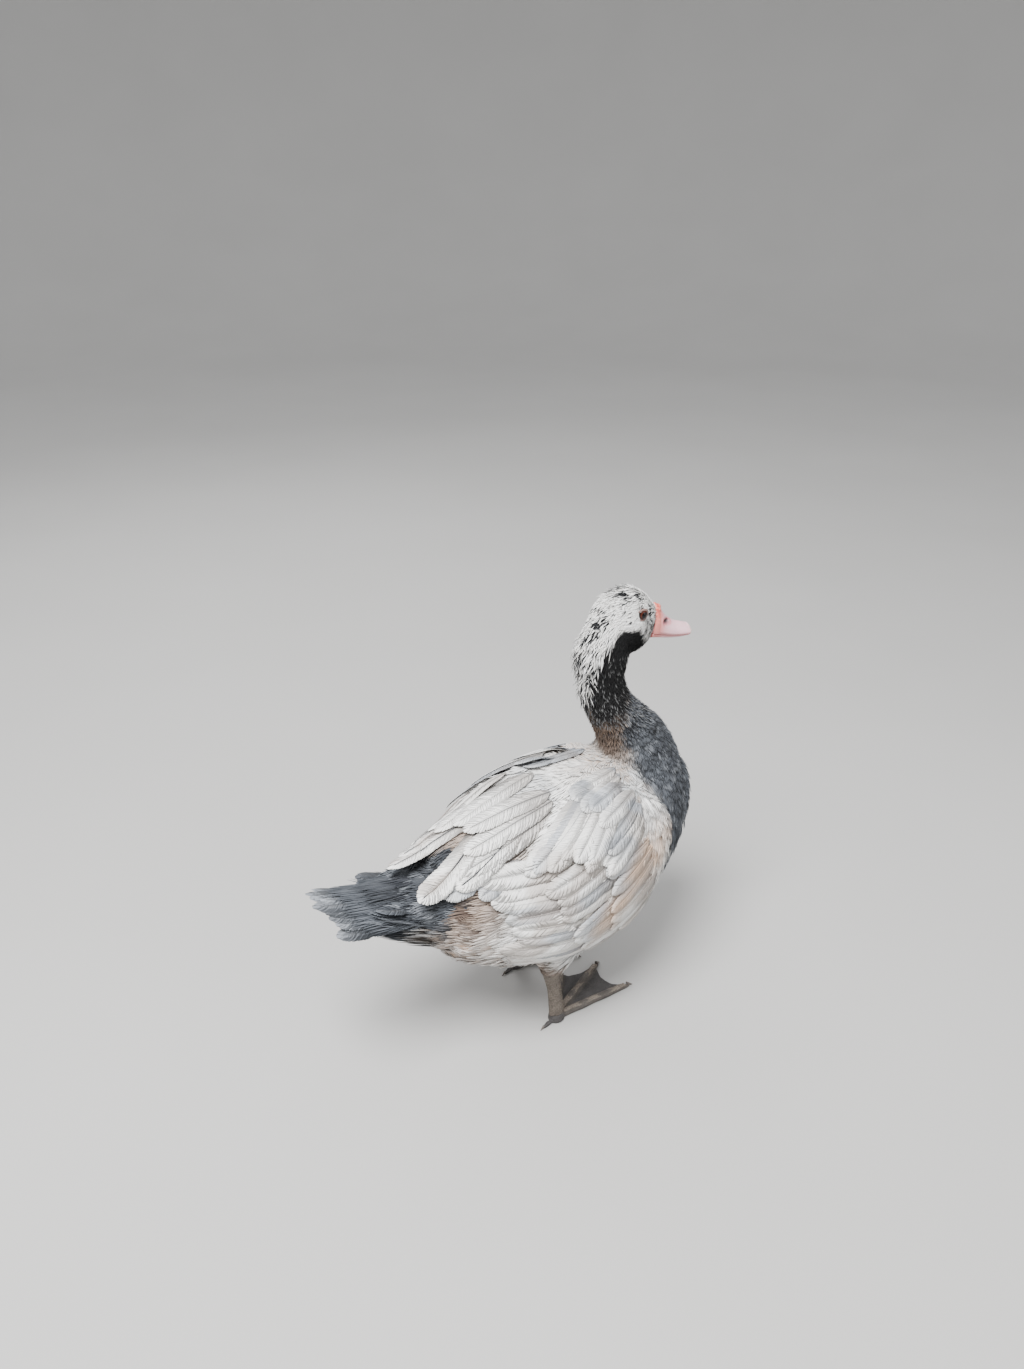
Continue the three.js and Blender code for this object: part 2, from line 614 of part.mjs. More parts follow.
const CROWN_ROWS = [
  { from: 12, to: -14, half: 34, count: 4, lift: [-1.4, 3.2], wide: 5, thick: 1.2 },
  { from: -2, to: -26, half: 44, count: 5, lift: [-1.4, 3.4], wide: 5.5, thick: 1.2 },
];
const NAPE_ROWS = [
  { from: 0.91, to: 0.77, half: 52, count: 4, lift: [-1.5, 4], wide: 6.5, thick: 1.2 },
  { from: 0.82, to: 0.66, half: 62, count: 4, lift: [-1.5, 5], wide: 6.5, thick: 1.2 },
  { from: 0.72, to: 0.56, half: 50, count: 3, lift: [-1.5, 4], wide: 6, thick: 1.2 },
];

// Assembly

const grownTrunk = trunkSolid(GAP);
const grownSkull = skullSolid(GAP);
const grownNeck = neckSolid(GAP);
const cut = (solid, ...tools) => largest(tools.reduce((left, tool) => left.subtract(tool), solid).simplify(0.1));

const solids = {};
solids.torso = trunkSolid();
solids.neck = cut(joined([neckSolid(), ...locks(NAPE_ROWS, neckPoint)]), grownTrunk, grownSkull);
solids.head = joined([
  headSolid(),
  ...locks(CROWN_ROWS, skullPoint).map((lock) => cut(lock, grownNeck)),
]);
const grownBill = [false, true].map((lower) => loft([-0.1, 0, 0.12, 0.25].map((t) => billRing(t, lower, 2 * GAP))));
solids.bill_upper = cut(billSolid(false), grownSkull);
solids.bill_lower = cut(billSolid(true), grownSkull);
solids.caruncle = cut(caruncleSolid(), grownSkull, ...grownBill);
solids.tail = cut(
  joined([tailCore(), ...TAIL_FANS.flatMap(tailFan)]),
  grownTrunk, wingSolid('left', GAP), wingSolid('right', GAP),
);
Object.entries(SIDES).forEach(([name, side]) => {
  solids[`shank_${name}`] = shankSolid(side);
  solids[`eye_${name}`] = oval(eyeCentre(side), Array(3).fill(EYE.radius), headBasis, 14, 10);
  solids[`wing_${name}`] = cut(wingSolid(name), grownTrunk);
  const thigh = cut(thighSolid(side), grownTrunk);
  solids[`thigh_${name}`] = thigh;
  solids[`foot_${name}`] = footSolid(side);
});

const root = new THREE.Group();
const bounds = new THREE.Box3();
const COLOURS = {
  torso: 0xd6d3cf, head: 0xeeeeec, neck: 0x4a4a4e, bill_upper: 0xe8c4c4, bill_lower: 0xe0b0b0,
  caruncle: 0xd8604e, eye: 0x4a1c10, thigh: 0xd0ccc6, shank: 0x4c4742, foot: 0x4f4a46,
  wing: 0xe6e4e0, tail: 0x6c7278,
};

Object.entries(solids).forEach(([name, solid]) => {
  const { vertProperties, triVerts } = solid.getMesh();
  const geometry = new THREE.BufferGeometry()
    .setAttribute('position', new THREE.Float32BufferAttribute(vertProperties, 3))
    .setIndex(new THREE.Uint32BufferAttribute(triVerts, 1));
  geometry.computeBoundingBox();
  bounds.union(geometry.boundingBox);
  const key = COLOURS[name] ? name : name.split('_')[0];
  const material = new THREE.MeshStandardMaterial({ color: COLOURS[key], roughness: 0.8, metalness: 0 });
  const mesh = new THREE.Mesh(geometry, material);
  mesh.name = name;
  root.add(mesh);
});

const centre = bounds.getCenter(vec(0, 0, 0));
root.position.set(-centre.x, -centre.y, -bounds.min.z);

export default root;
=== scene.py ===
"""Studio scene of a life-size muscovy duck that stands with one wing hanging low.

The bird is laid out in its own stance frame, in millimetres: x forward, y to its left and z up from
the floor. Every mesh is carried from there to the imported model's frame, in metres. One skin takes
the place of the solids of flesh, and the plumage is laid on it as thin vanes.
"""
import logging
import math
from dataclasses import dataclass
from enum import Enum
from typing import Callable, Sequence

import bmesh
import bpy
import numpy as np
from bpy.types import ID, Material, Mesh, Node, NodeSocket, NodeTree
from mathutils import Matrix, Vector
from mathutils.bvhtree import BVHTree
from mathutils.kdtree import KDTree


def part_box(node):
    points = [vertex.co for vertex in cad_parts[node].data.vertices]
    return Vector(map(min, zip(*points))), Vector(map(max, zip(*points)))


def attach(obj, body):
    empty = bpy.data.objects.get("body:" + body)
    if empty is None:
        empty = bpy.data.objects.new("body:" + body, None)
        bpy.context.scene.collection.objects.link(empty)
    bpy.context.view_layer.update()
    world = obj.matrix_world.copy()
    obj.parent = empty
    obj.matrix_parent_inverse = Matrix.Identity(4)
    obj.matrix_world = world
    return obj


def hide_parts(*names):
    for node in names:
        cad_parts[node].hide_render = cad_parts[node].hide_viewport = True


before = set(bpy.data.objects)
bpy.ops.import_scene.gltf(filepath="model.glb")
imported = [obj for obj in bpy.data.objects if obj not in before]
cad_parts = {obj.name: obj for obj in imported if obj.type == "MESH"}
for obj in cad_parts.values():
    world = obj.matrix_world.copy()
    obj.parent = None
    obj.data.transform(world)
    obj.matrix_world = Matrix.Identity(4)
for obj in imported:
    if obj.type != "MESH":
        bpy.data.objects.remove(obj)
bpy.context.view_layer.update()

Array = np.ndarray
Chance = np.random.Generator
Thing = bpy.types.Object
Floats = tuple[float, ...]
Colour = Point = tuple[float, float, float]
Curve = Callable[[Array], Array]
LOG = logging.getLogger("duck")
MM = 0.001
SEED = 4711
SIDES = {"left": 1, "right": -1}
TRUNK_POWER = 2.25  # how square the sections of trunk and tail are
PATCH = 0.003  # side of a tuft's place on the baking map


def srgb(red: float, green: float, blue: float) -> Array:
    """Linear colour of a colour given in screen values from 0 to 255."""
    value = np.array([red, green, blue]) / 255.0
    return np.where(value <= 0.04045, value / 12.92, ((value + 0.055) / 1.055) ** 2.4)


def smooth(low: float, high: float, value: Array) -> Array:
    """Smooth step of value from 0 at low to 1 at high."""
    t = np.clip((np.asarray(value, float) - low) / (high - low), 0.0, 1.0)
    return t * t * (3.0 - 2.0 * t)


def unit(vectors: Array) -> Array:
    """The vectors scaled to length one."""
    return vectors / np.maximum(np.linalg.norm(vectors, axis=-1, keepdims=True), 1e-9)


def laid_along(ways: Array, normals: Array) -> Array:
    """Directions turned into the surface that has these normals."""
    return unit(ways - normals * (ways * normals).sum(1, keepdims=True))


def around(count: int) -> Array:
    """Angles of a ring's places, in radians."""
    return np.radians(np.arange(count) * (360.0 / count))


def squared(value: Array, power: float) -> Array:
    """A circle's sine or cosine, bent towards a square."""
    return np.sign(value) * np.abs(value) ** (2 / power)


def ripple(points: Array, scale: float, seed: int) -> Array:
    """Soft random pattern over space, from about -1 to 1.

    Args:
        points: Places in millimetres.
        scale: Size of one patch in millimetres.
        seed: Picks the pattern.

    Returns:
        One value a place.
    """
    rng = np.random.default_rng(seed)
    waves = rng.normal(size=(7, 3)) * (1.9 / scale)
    phases = rng.uniform(0, 2 * math.pi, 7)
    return np.sin(points @ waves.T + phases).sum(-1) / 2.8


def curve(stations: Sequence[float], values: Sequence[float]) -> Curve:
    """Monotone cubic through the stations.

    Args:
        stations: Growing places along the curve.
        values: The curve's value at each of them.

    Returns:
        A function of place, held level beyond both ends.
    """
    xs, ys = np.array(stations, float), np.array(values, float)
    steps = np.diff(ys) / np.diff(xs)
    slopes = np.empty_like(xs)
    slopes[0], slopes[-1] = steps[0], steps[-1]
    for i in range(1, len(xs) - 1):
        a, b = steps[i - 1], steps[i]
        slopes[i] = 0.0 if a * b <= 0 else 2 * a * b / (a + b)

    def at(place: Array) -> Array:
        """Value of the curve at a place.

        Args:
            place: Where along the curve.

        Returns:
            The value there.
        """
        place = np.asarray(place, float)
        i = np.clip(np.searchsorted(xs, place, side="right") - 1, 0, len(xs) - 2)
        width = xs[i + 1] - xs[i]
        t = np.clip((place - xs[i]) / width, 0.0, 1.0)
        t2, t3 = t * t, t * t * t
        return (
            (2 * t3 - 3 * t2 + 1) * ys[i]
            + (t3 - 2 * t2 + t) * width * slopes[i]
            + (3 * t2 - 2 * t3) * ys[i + 1]
            + (t3 - t2) * width * slopes[i + 1]
        )

    return at


# Forms of the body


@dataclass(frozen=True)
class Trunk:
    """The trunk's surface, as superellipse sections between a back, a belly and two flanks."""

    tip_x: float = 190.0
    tip_z: float = 222.0
    rear_x: float = -132.0
    power: float = TRUNK_POWER
    widest: float = 0.52
    back_blunt: float = 2.2
    belly_blunt: float = 1.65
    flank_blunt: float = 1.8
    depth: float = 5.0
    stations: Floats = (-260, -205, -150, -110, -60, -10, 20)
    back_stations: Floats = (-260, -205, -150, -100, -40, 20, 78)
    back_heights: Floats = (213, 217, 227, 243, 262, 273, 277)
    belly_heights: Floats = (190, 172, 138, 106, 82, 72, 71)
    flank_stations: Floats = (-260, -205, -150, -110, -60, -10, 25)
    flank_halves: Floats = (30, 36, 46, 62, 78, 85, 85)

    def _outline(self, xs: Sequence[float], vs: Sequence[float], blunt: float, end: float, x: Array) -> Array:
        """One outline at x, closed towards `end` at the tip of the breast.

        Args:
            xs: Its stations.
            vs: Its values there.
            blunt: How blunt the breast is.
            end: Its value at the tip.
            x: Places wanted.

        Returns:
            Its values at x.
        """
        x = np.asarray(x, float)
        t = np.clip((x - xs[-1]) / (self.tip_x - xs[-1]), 0.0, 1.0)
        closing = end + (vs[-1] - end) * np.sqrt(1.0 - t**blunt)
        return np.where(x <= xs[-1], curve(xs, vs)(np.minimum(x, xs[-1])), closing)

    def point(self, x: Array, angle: Array, lift: Array = 0.0) -> Array:
        """A place on the surface.

        Args:
            x: Station along the body.
            angle: Degrees round it, 0 on the back and 90 on the bird's left.
            lift: How far the section is grown.

        Returns:
            Points in the stance frame.
        """
        top = self._outline(self.back_stations, self.back_heights, self.back_blunt, self.tip_z, x)
        low = self._outline(self.stations, self.belly_heights, self.belly_blunt, self.tip_z, x)
        half = self._outline(self.flank_stations, self.flank_halves, self.flank_blunt, 0.0, x)
        middle = low + (top - low) * self.widest
        sin, cos = np.sin(np.radians(angle)), np.cos(np.radians(angle))
        side, rise = squared(sin, self.power), squared(cos, self.power)
        reach = np.where(cos >= 0, top - middle, middle - low) + lift
        return np.stack([x + 0.0 * side, (half + lift) * side, middle + reach * rise], -1)

    def normal(self, x: Array, angle: Array) -> Array:
        """Outward direction of the surface there."""
        along = self.point(x + 1.5, angle) - self.point(x - 1.5, angle)
        return unit(np.cross(along, self.point(x, angle + 1.5) - self.point(x, angle - 1.5)))

    def rings(self) -> list[Array]:
        """Sections from the rump to the breast.

        Returns:
            Rings of points.
        """
        shares = np.sin(np.linspace(0, 1, 26) * math.pi / 2) ** 0.85
        turns = np.arange(48) * 7.5
        return [
            self.point(np.full(48, self.rear_x + 6 + (self.tip_x - 7 - self.rear_x) * s), turns, -self.depth)
            for s in shares
        ]


@dataclass(frozen=True)
class Neck:
    """The neck's tube, from inside the trunk to inside the skull."""

    xs: Floats = (112, 122, 115, 102, 88, 76, 70, 70, 77, 87)
    zs: Floats = (214, 246, 278, 302, 322, 343, 365, 387, 408, 428)
    deep: Floats = (56, 52, 43, 33, 28.5, 27, 27, 32, 32, 25)
    wide: Floats = (60, 51, 40, 31, 27, 25, 23, 24.5, 24, 20)
    depth: float = 4.0

    def rings(self) -> list[Array]:
        """Sections from the trunk up to the skull.

        Returns:
            Rings of points.
        """
        shares = np.linspace(0, 1, len(self.zs))
        xs, zs = curve(shares, self.xs), curve(shares, self.zs)
        deep, wide = curve(shares, self.deep), curve(shares, self.wide)
        turns = around(36)
        rings = []
        for t in np.linspace(0.02, 0.98, 26):
            along = unit(np.array([xs(t + 0.01) - xs(t - 0.01), 0.0, zs(t + 0.01) - zs(t - 0.01)]))
            rear = np.array([-along[2], 0.0, along[0]])
            centre = np.array([xs(t), 0.0, zs(t)])
            rings.append(
                centre
                + np.outer(np.cos(turns) * (deep(t) - self.depth), rear)
                + np.outer(np.sin(turns) * (wide(t) - self.depth), [0, 1, 0])
            )
        return rings


class Placed:
    """A form measured along its own axes from a place on the bird's middle plane."""

    def place(self, s: Array, y: Array, u: Array) -> Array:
        """Stance point of the form's own measures."""
        own = np.stack(np.broadcast_arrays(s, y, u), -1).astype(float)
        return np.array([self.x, 0.0, self.z]) + own @ self.axes()

    def local(self, points: Array) -> Array:
        """The form's own measures of stance points."""
        return (points - np.array([self.x, 0.0, self.z])) @ self.axes().T


@dataclass(frozen=True)
class Head(Placed):
    """The skull and its own measures: s forward, y left and u up from its centre."""

    x: float = 93.0
    z: float = 424.0
    pitch: float = 8.0
    turn: float = -14.0
    stations: Floats = (-33, -28, -20, -8, 6, 18, 28, 36)
    up: Floats = (7, 15, 22.5, 29.5, 32.5, 29, 21.5, 14)
    down: Floats = (8, 19, 27, 33, 37, 38, 33, 22)
    wide: Floats = (8, 15, 21, 24, 24, 20, 15.5, 11.5)
    eye: Point = (11.5, 16.2, 9.2)
    eye_radius: float = 6.2
    depth: float = 1.8

    def axes(self) -> Array:
        """Rows of the forward, left and up directions.

        Returns:
            Three directions.
        """
        pitch, turn = math.radians(self.pitch), math.radians(self.turn)
        forward = np.array([math.cos(pitch) * math.cos(turn), math.cos(pitch) * math.sin(turn), -math.sin(pitch)])
        up = np.array([math.sin(pitch) * math.cos(turn), math.sin(pitch) * math.sin(turn), math.cos(pitch)])
        return np.array([forward, np.cross(up, forward), up])

    def rings(self) -> list[Array]:
        """Sections from the nape to the face.

        Returns:
            Rings of points.
        """
        up, down = curve(self.stations, self.up), curve(self.stations, self.down)
        wide = curve(self.stations, self.wide)
        turns = around(40)
        rings = []
        for s in np.linspace(self.stations[0], self.stations[-1], 34):
            reach = np.where(np.cos(turns) >= 0, up(s), down(s)) - self.depth
            half = wide(s) - self.depth
            rings.append(self.place(s - np.sign(s) * self.depth, np.sin(turns) * half, np.cos(turns) * reach))
        return rings

    def eye_centre(self, side: int) -> Array:
        """Centre of the eyeball on one side."""
        s, y, u = self.eye
        return self.place(s, side * y, u)


@dataclass(frozen=True)
class TailForm(Placed):
    """The tail's fleshy core and its own measures: s backward, y left and u up from its root."""

    x: float = -118.0
    z: float = 186.0
    lift: float = 12.0
    swing: float = 11.0
    stations: Floats = (-4, 8, 26, 48, 66, 80)
    half: Floats = (50, 49, 44, 36, 28, 19)
    up: Floats = (38, 36, 27, 16, 8, 4)
    down: Floats = (60, 54, 38, 20, 9, 4)
    depth: float = 5.0

    def axes(self) -> Array:
        """Rows of the backward, left and up directions.

        Returns:
            Three directions.
        """
        lift, swing = math.radians(self.lift), math.radians(self.swing)
        rear = np.array([-math.cos(lift) * math.cos(swing), math.cos(lift) * math.sin(swing), math.sin(lift)])
        across = np.array([math.sin(swing), math.cos(swing), 0.0])
        up = np.cross(across, rear)
        return np.array([rear, across, unit(up if up[2] > 0 else -up)])

    def rings(self) -> list[Array]:
        """Sections from the rump to the root of the quills.

        Returns:
            Rings of points.
        """
        half, up, down = (curve(self.stations, v) for v in (self.half, self.up, self.down))
        turns = around(36)
        sin, cos = np.sin(turns), np.cos(turns)
        side, rise = squared(sin, TRUNK_POWER), squared(cos, TRUNK_POWER)
        rings = []
        for s in np.linspace(-18, 80, 18):
            reach = np.where(cos >= 0, up(s), down(s)) - self.depth
            rings.append(self.place(s, (half(s) - self.depth) * side, reach * rise))
        return rings


@dataclass(frozen=True)
class WingPad:
    """The folded arm under the wing's small feathers, as a crescent over the trunk."""

    side: int
    xs: Floats
    top: Floats
    bottom: Floats
    thick: Floats
    depth: float = 4.0

    def rings(self) -> list[Array]:
        """Sections from the rear edge to the wrist.

        Returns:
            Rings of points.
        """
        top, bottom, thick = curve(self.xs, self.top), curve(self.xs, self.bottom), curve(self.xs, self.thick)
        share = np.linspace(0, 1, 15)
        rings = []
        for x in np.linspace(self.xs[0], self.xs[-1], 24):
            angle = self.side * (top(x) + (bottom(x) - top(x)) * share)
            bulge = np.maximum(thick(x) - self.depth, 0.4) * np.sin(math.pi * (share * 0.94 + 0.03)) ** 0.5
            outer = TRUNK.point(np.full(15, x), angle, bulge)
            inner = TRUNK.point(np.full(15, x), angle[::-1], -9.0)
            rings.append(np.vstack([outer, inner]))
        return rings


TRUNK, NECK, HEAD, TAIL = Trunk(), Neck(), Head(), TailForm()
PADS = {
    "left": WingPad(1, (-70, -40, 0, 50, 90, 118), (40, 24, 20, 26, 40, 66), (86, 98, 108, 112, 106, 86),
                    (4, 6.5, 8.5, 9.5, 8, 3)),
    "right": WingPad(-1, (-55, -30, 10, 50, 85, 112), (46, 30, 24, 28, 44, 70), (98, 117, 123, 120, 110, 90),
                     (4, 6.4, 8.4, 9.3, 8, 3)),
}


@dataclass(frozen=True)
class Leg:
    """One leg's places: hock, heel, thigh and the lines of its toes."""

    side: int
    toe_in: float
    shift: float
    y: float = 46.0
    hock: tuple[float, float] = (-20.0, 70.0)
    heel: tuple[float, float] = (-12.0, 9.0)
    thigh: tuple[float, float] = (4.0, 118.0)
    turns: Floats = (24.0, 0.0, -28.0)
    lengths: Floats = (74.0, 103.0, 102.0)
    halves: Floats = (4.4, 5.0, 4.6)
    hallux: Point = (168.0, 22.0, 2.8)
    depth: float = 4.0

    def ankle(self) -> Array:
        """Where the toes meet, on the floor."""
        return np.array([self.heel[0] + self.shift, self.side * self.y, 0.0])

    def heading(self, turn: float) -> Array:
        """Level direction of a toe that is turned towards the body's middle."""
        angle = -self.side * math.radians(self.toe_in + turn)
        return np.array([math.cos(angle), math.sin(angle), 0.0])

    def thigh_rings(self) -> list[Array]:
        """Sections from inside the belly to the hock.

        Returns:
            Rings of points.
        """
        half = curve((0, 0.5, 0.85, 1), (28, 23, 14, 10.5))
        turns = around(24)
        rings = []
        for t in np.linspace(0, 1.0, 12):
            centre = np.array([
                self.thigh[0] + (self.hock[0] - self.thigh[0]) * t**0.8 + self.shift * t,
                self.side * (self.y - 2 + 2 * t),
                self.thigh[1] + (self.hock[1] - self.thigh[1]) * t,
            ])
            size = half(t) - self.depth * (1 - 0.6 * t)
            rings.append(centre + np.stack([1.12 * size * np.cos(turns), 0.86 * size * np.sin(turns), 0 * turns], -1))
        return rings


LEGS = {"left": Leg(1, 0.0, 14.0), "right": Leg(-1, 24.0, 0.0)}


def _stance_shift() -> Array:
    """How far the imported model's frame lies from the stance frame, in millimetres."""
    low, high = (np.array(c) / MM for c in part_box("eye_right"))
    return (low + high) / 2 - HEAD.eye_centre(-1)


SHIFT = _stance_shift()


def to_row(points: Array) -> Array:
    """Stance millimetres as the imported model's metres."""
    return (np.asarray(points, float) + SHIFT) * MM


# Mesh making


@dataclass
class Sheet:
    """Points, triangles, colours and baking places of a mesh that is being gathered."""

    points: Array
    faces: Array
    colour: Array
    bake: Array


def loft(rings: Sequence[Array], closed: bool = False) -> tuple[Array, list[tuple[int, ...]]]:
    """Join a row of rings into one surface.

    Args:
        rings: Rings of equal point counts.
        closed: Whether the last ring meets the first; if not, a flat cap closes each end.

    Returns:
        Points and faces.
    """
    count, total = len(rings[0]), len(rings) * len(rings[0])
    faces: list[tuple[int, ...]] = []
    for r in range(len(rings) - (not closed)):
        for k in range(count):
            a, b = r * count + k, r * count + (k + 1) % count
            faces.append((a, b, (b + count) % total, (a + count) % total))
    if not closed:
        faces += [tuple(range(count - 1, -1, -1)), tuple(range(total - count, total))]
    return np.vstack(rings), faces


def new_object(name: str, data: ID) -> Thing:
    """Link a mesh, a light or a camera into the scene.

    Args:
        name: The object's name.
        data: What it holds.

    Returns:
        The object.
    """
    thing = bpy.data.objects.new(name, data)
    bpy.context.scene.collection.objects.link(thing)
    return thing


def from_loft(name: str, parts: Sequence[Sequence[Array]], closed: bool = False) -> Thing:
    """An object of several lofts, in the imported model's metres.

    Args:
        name: Its name.
        parts: The rings of each loft.
        closed: Whether each loft's last ring meets its first.

    Returns:
        The object, facing out.
    """
    points, faces = [], []
    for rings in parts:
        own, own_faces = loft(rings, closed)
        start = sum(len(p) for p in points)
        points.append(own)
        faces += [tuple(start + i for i in f) for f in own_faces]
    mesh = bpy.data.meshes.new(name)
    mesh.from_pydata(to_row(np.vstack(points)).tolist(), [], faces)
    mesh.update()
    outward(mesh)
    return new_object(name, mesh)


def outward(mesh: Mesh) -> None:
    """Turn every closed shell of the mesh face out.

    Args:
        mesh: The mesh.
    """
    work = bmesh.new()
    work.from_mesh(mesh)
    bmesh.ops.recalc_face_normals(work, faces=work.faces[:])
    work.to_mesh(mesh)
    work.free()


def apply_modifiers(thing: Thing) -> None:
    """Turn the object into the plain mesh that its modifiers make.

    Args:
        thing: The object.
    """
    graph = bpy.context.evaluated_depsgraph_get()
    mesh = bpy.data.meshes.new_from_object(thing.evaluated_get(graph))
    old = thing.data
    thing.modifiers.clear()
    thing.data = mesh
    bpy.data.meshes.remove(old)
    mesh.name = thing.name


def fuse(thing: Thing, voxel: float, smoothing: int) -> None:
    """Grow the closed shells of an object into one skin.

    Args:
        thing: The object.
        voxel: Size of the grid, in millimetres.
        smoothing: How many times its steps are smoothed.
    """
    grid = thing.modifiers.new("fuse", "REMESH")
    grid.mode, grid.voxel_size = "VOXEL", voxel * MM
    ease = thing.modifiers.new("ease", "SMOOTH")
    ease.factor, ease.iterations = 0.5, smoothing
    apply_modifiers(thing)


def points_of(mesh: Mesh) -> Array:
    """The mesh's points in stance millimetres."""
    return np.array([point.co for point in mesh.vertices]) / MM - SHIFT


def paint(mesh: Mesh, name: str, colours: Array) -> None:
    """Store one linear colour a point under a name."""
    layer = mesh.color_attributes.new(name, "FLOAT_COLOR", "POINT")
    layer.data.foreach_set("color", np.hstack([colours, np.ones((len(colours), 1))]).ravel())


def add_uv(mesh: Mesh, name: str, per_point: Array) -> None:
    """Store a UV map from one value a point.

    Args:
        mesh: The mesh.
        name: The map's name.
        per_point: Place on the map of each point.
    """
    loops = np.empty(len(mesh.loops), dtype=np.int32)
    mesh.loops.foreach_get("vertex_index", loops)
    layer = mesh.uv_layers.new(name=name)
    layer.data.foreach_set("uv", per_point[loops].ravel())


def shade_smooth(mesh: Mesh) -> None:
    """Smooth shading all over."""
    mesh.polygons.foreach_set("use_smooth", np.ones(len(mesh.polygons), dtype=bool))


def sheet_object(name: str, sheet: Sheet) -> Thing:
    """An object from gathered triangles, with its colours and baking map.

    Args:
        name: Its name.
        sheet: The triangles.

    Returns:
        The object.
    """
    mesh = bpy.data.meshes.new(name)
    corners = sheet.faces
    mesh.vertices.add(len(sheet.points))
    mesh.vertices.foreach_set("co", to_row(sheet.points).astype(np.float32).ravel())
    mesh.loops.add(corners.size)
    mesh.loops.foreach_set("vertex_index", corners.astype(np.int32).ravel())
    mesh.polygons.add(len(corners))
    mesh.polygons.foreach_set("loop_start", np.arange(0, corners.size, 3, dtype=np.int32))
    mesh.update(calc_edges=True)
    paint(mesh, "plumage", sheet.colour)
    add_uv(mesh, "OFBake", sheet.bake)
    return new_object(name, mesh)


# The unwrap and the lie of the coat


class Lie:
    """The body's middle line: which way feathers point, and an unwrap of the skin."""

    def __init__(self) -> None:
        """Lay the middle line from the face to the tip of the tail."""
        line = [HEAD.place(40, 0, -4), HEAD.place(4, 0, -2), (71, 0, 396), (69, 0, 370), (77, 0, 342),
                (92, 0, 316), (110, 0, 286), (108, 0, 240), (70, 0, 195), (0, 0, 178), (-70, 0, 178),
                (-125, 2, 188), (-175, 12, 199), (-235, 24, 212)]
        self.nodes = np.array([np.asarray(p, float) for p in line])
        self.ways = unit(np.gradient(self.nodes, axis=0))
        steps = np.linalg.norm(np.diff(self.nodes, axis=0), axis=1)
        self.reach = np.concatenate([[0.0], np.cumsum(steps)])

    def weights(self, points: Array) -> Array:
        """How much each node of the line counts at each place."""
        near = 1.0 / np.maximum(np.linalg.norm(points[:, None, :] - self.nodes[None], axis=2), 4.0) ** 4
        return near / near.sum(1, keepdims=True)

    def direction(self, points: Array, normals: Array) -> Array:
        """Which way the coat points, along the skin, at each place."""
        return laid_along(self.weights(points) @ self.ways, normals)

    def station(self, points: Array) -> Array:
        """Distance along the middle line."""
        return self.weights(points) @ self.reach

    def unwrap(self, points: Array) -> Array:
        """A map of the skin: turns round the middle line, and distance along it.

        Args:
            points: Places on the skin.

        Returns:
            Places on the map.
        """
        weights = self.weights(points)
        centre, way = weights @ self.nodes, unit(weights @ self.ways)
        out = points - centre
        across = np.array([0.0, 1.0, 0.0])
        up = unit(np.cross(np.broadcast_to(across, way.shape), way))
        angle = np.arctan2((out * across).sum(1), (out * up).sum(1))
        return np.stack([0.5 + angle / (2 * math.pi) * 0.96, 0.02 + 0.96 * self.station(points) / self.reach[-1]], 1)


LIE = Lie()


# Markings


class Tone:
    """The plumage's colours."""

    WHITE = srgb(241, 240, 237)
    PALE = srgb(204, 205, 205)
    BLUE_GREY = srgb(156, 161, 168)
    SLATE = srgb(84, 88, 94)
    DEEP = srgb(46, 48, 53)
    BLACK = srgb(13, 13, 14)
    BUFF = srgb(207, 177, 152)
    BROWN = srgb(112, 94, 84)
    UMBER = srgb(78, 60, 50)


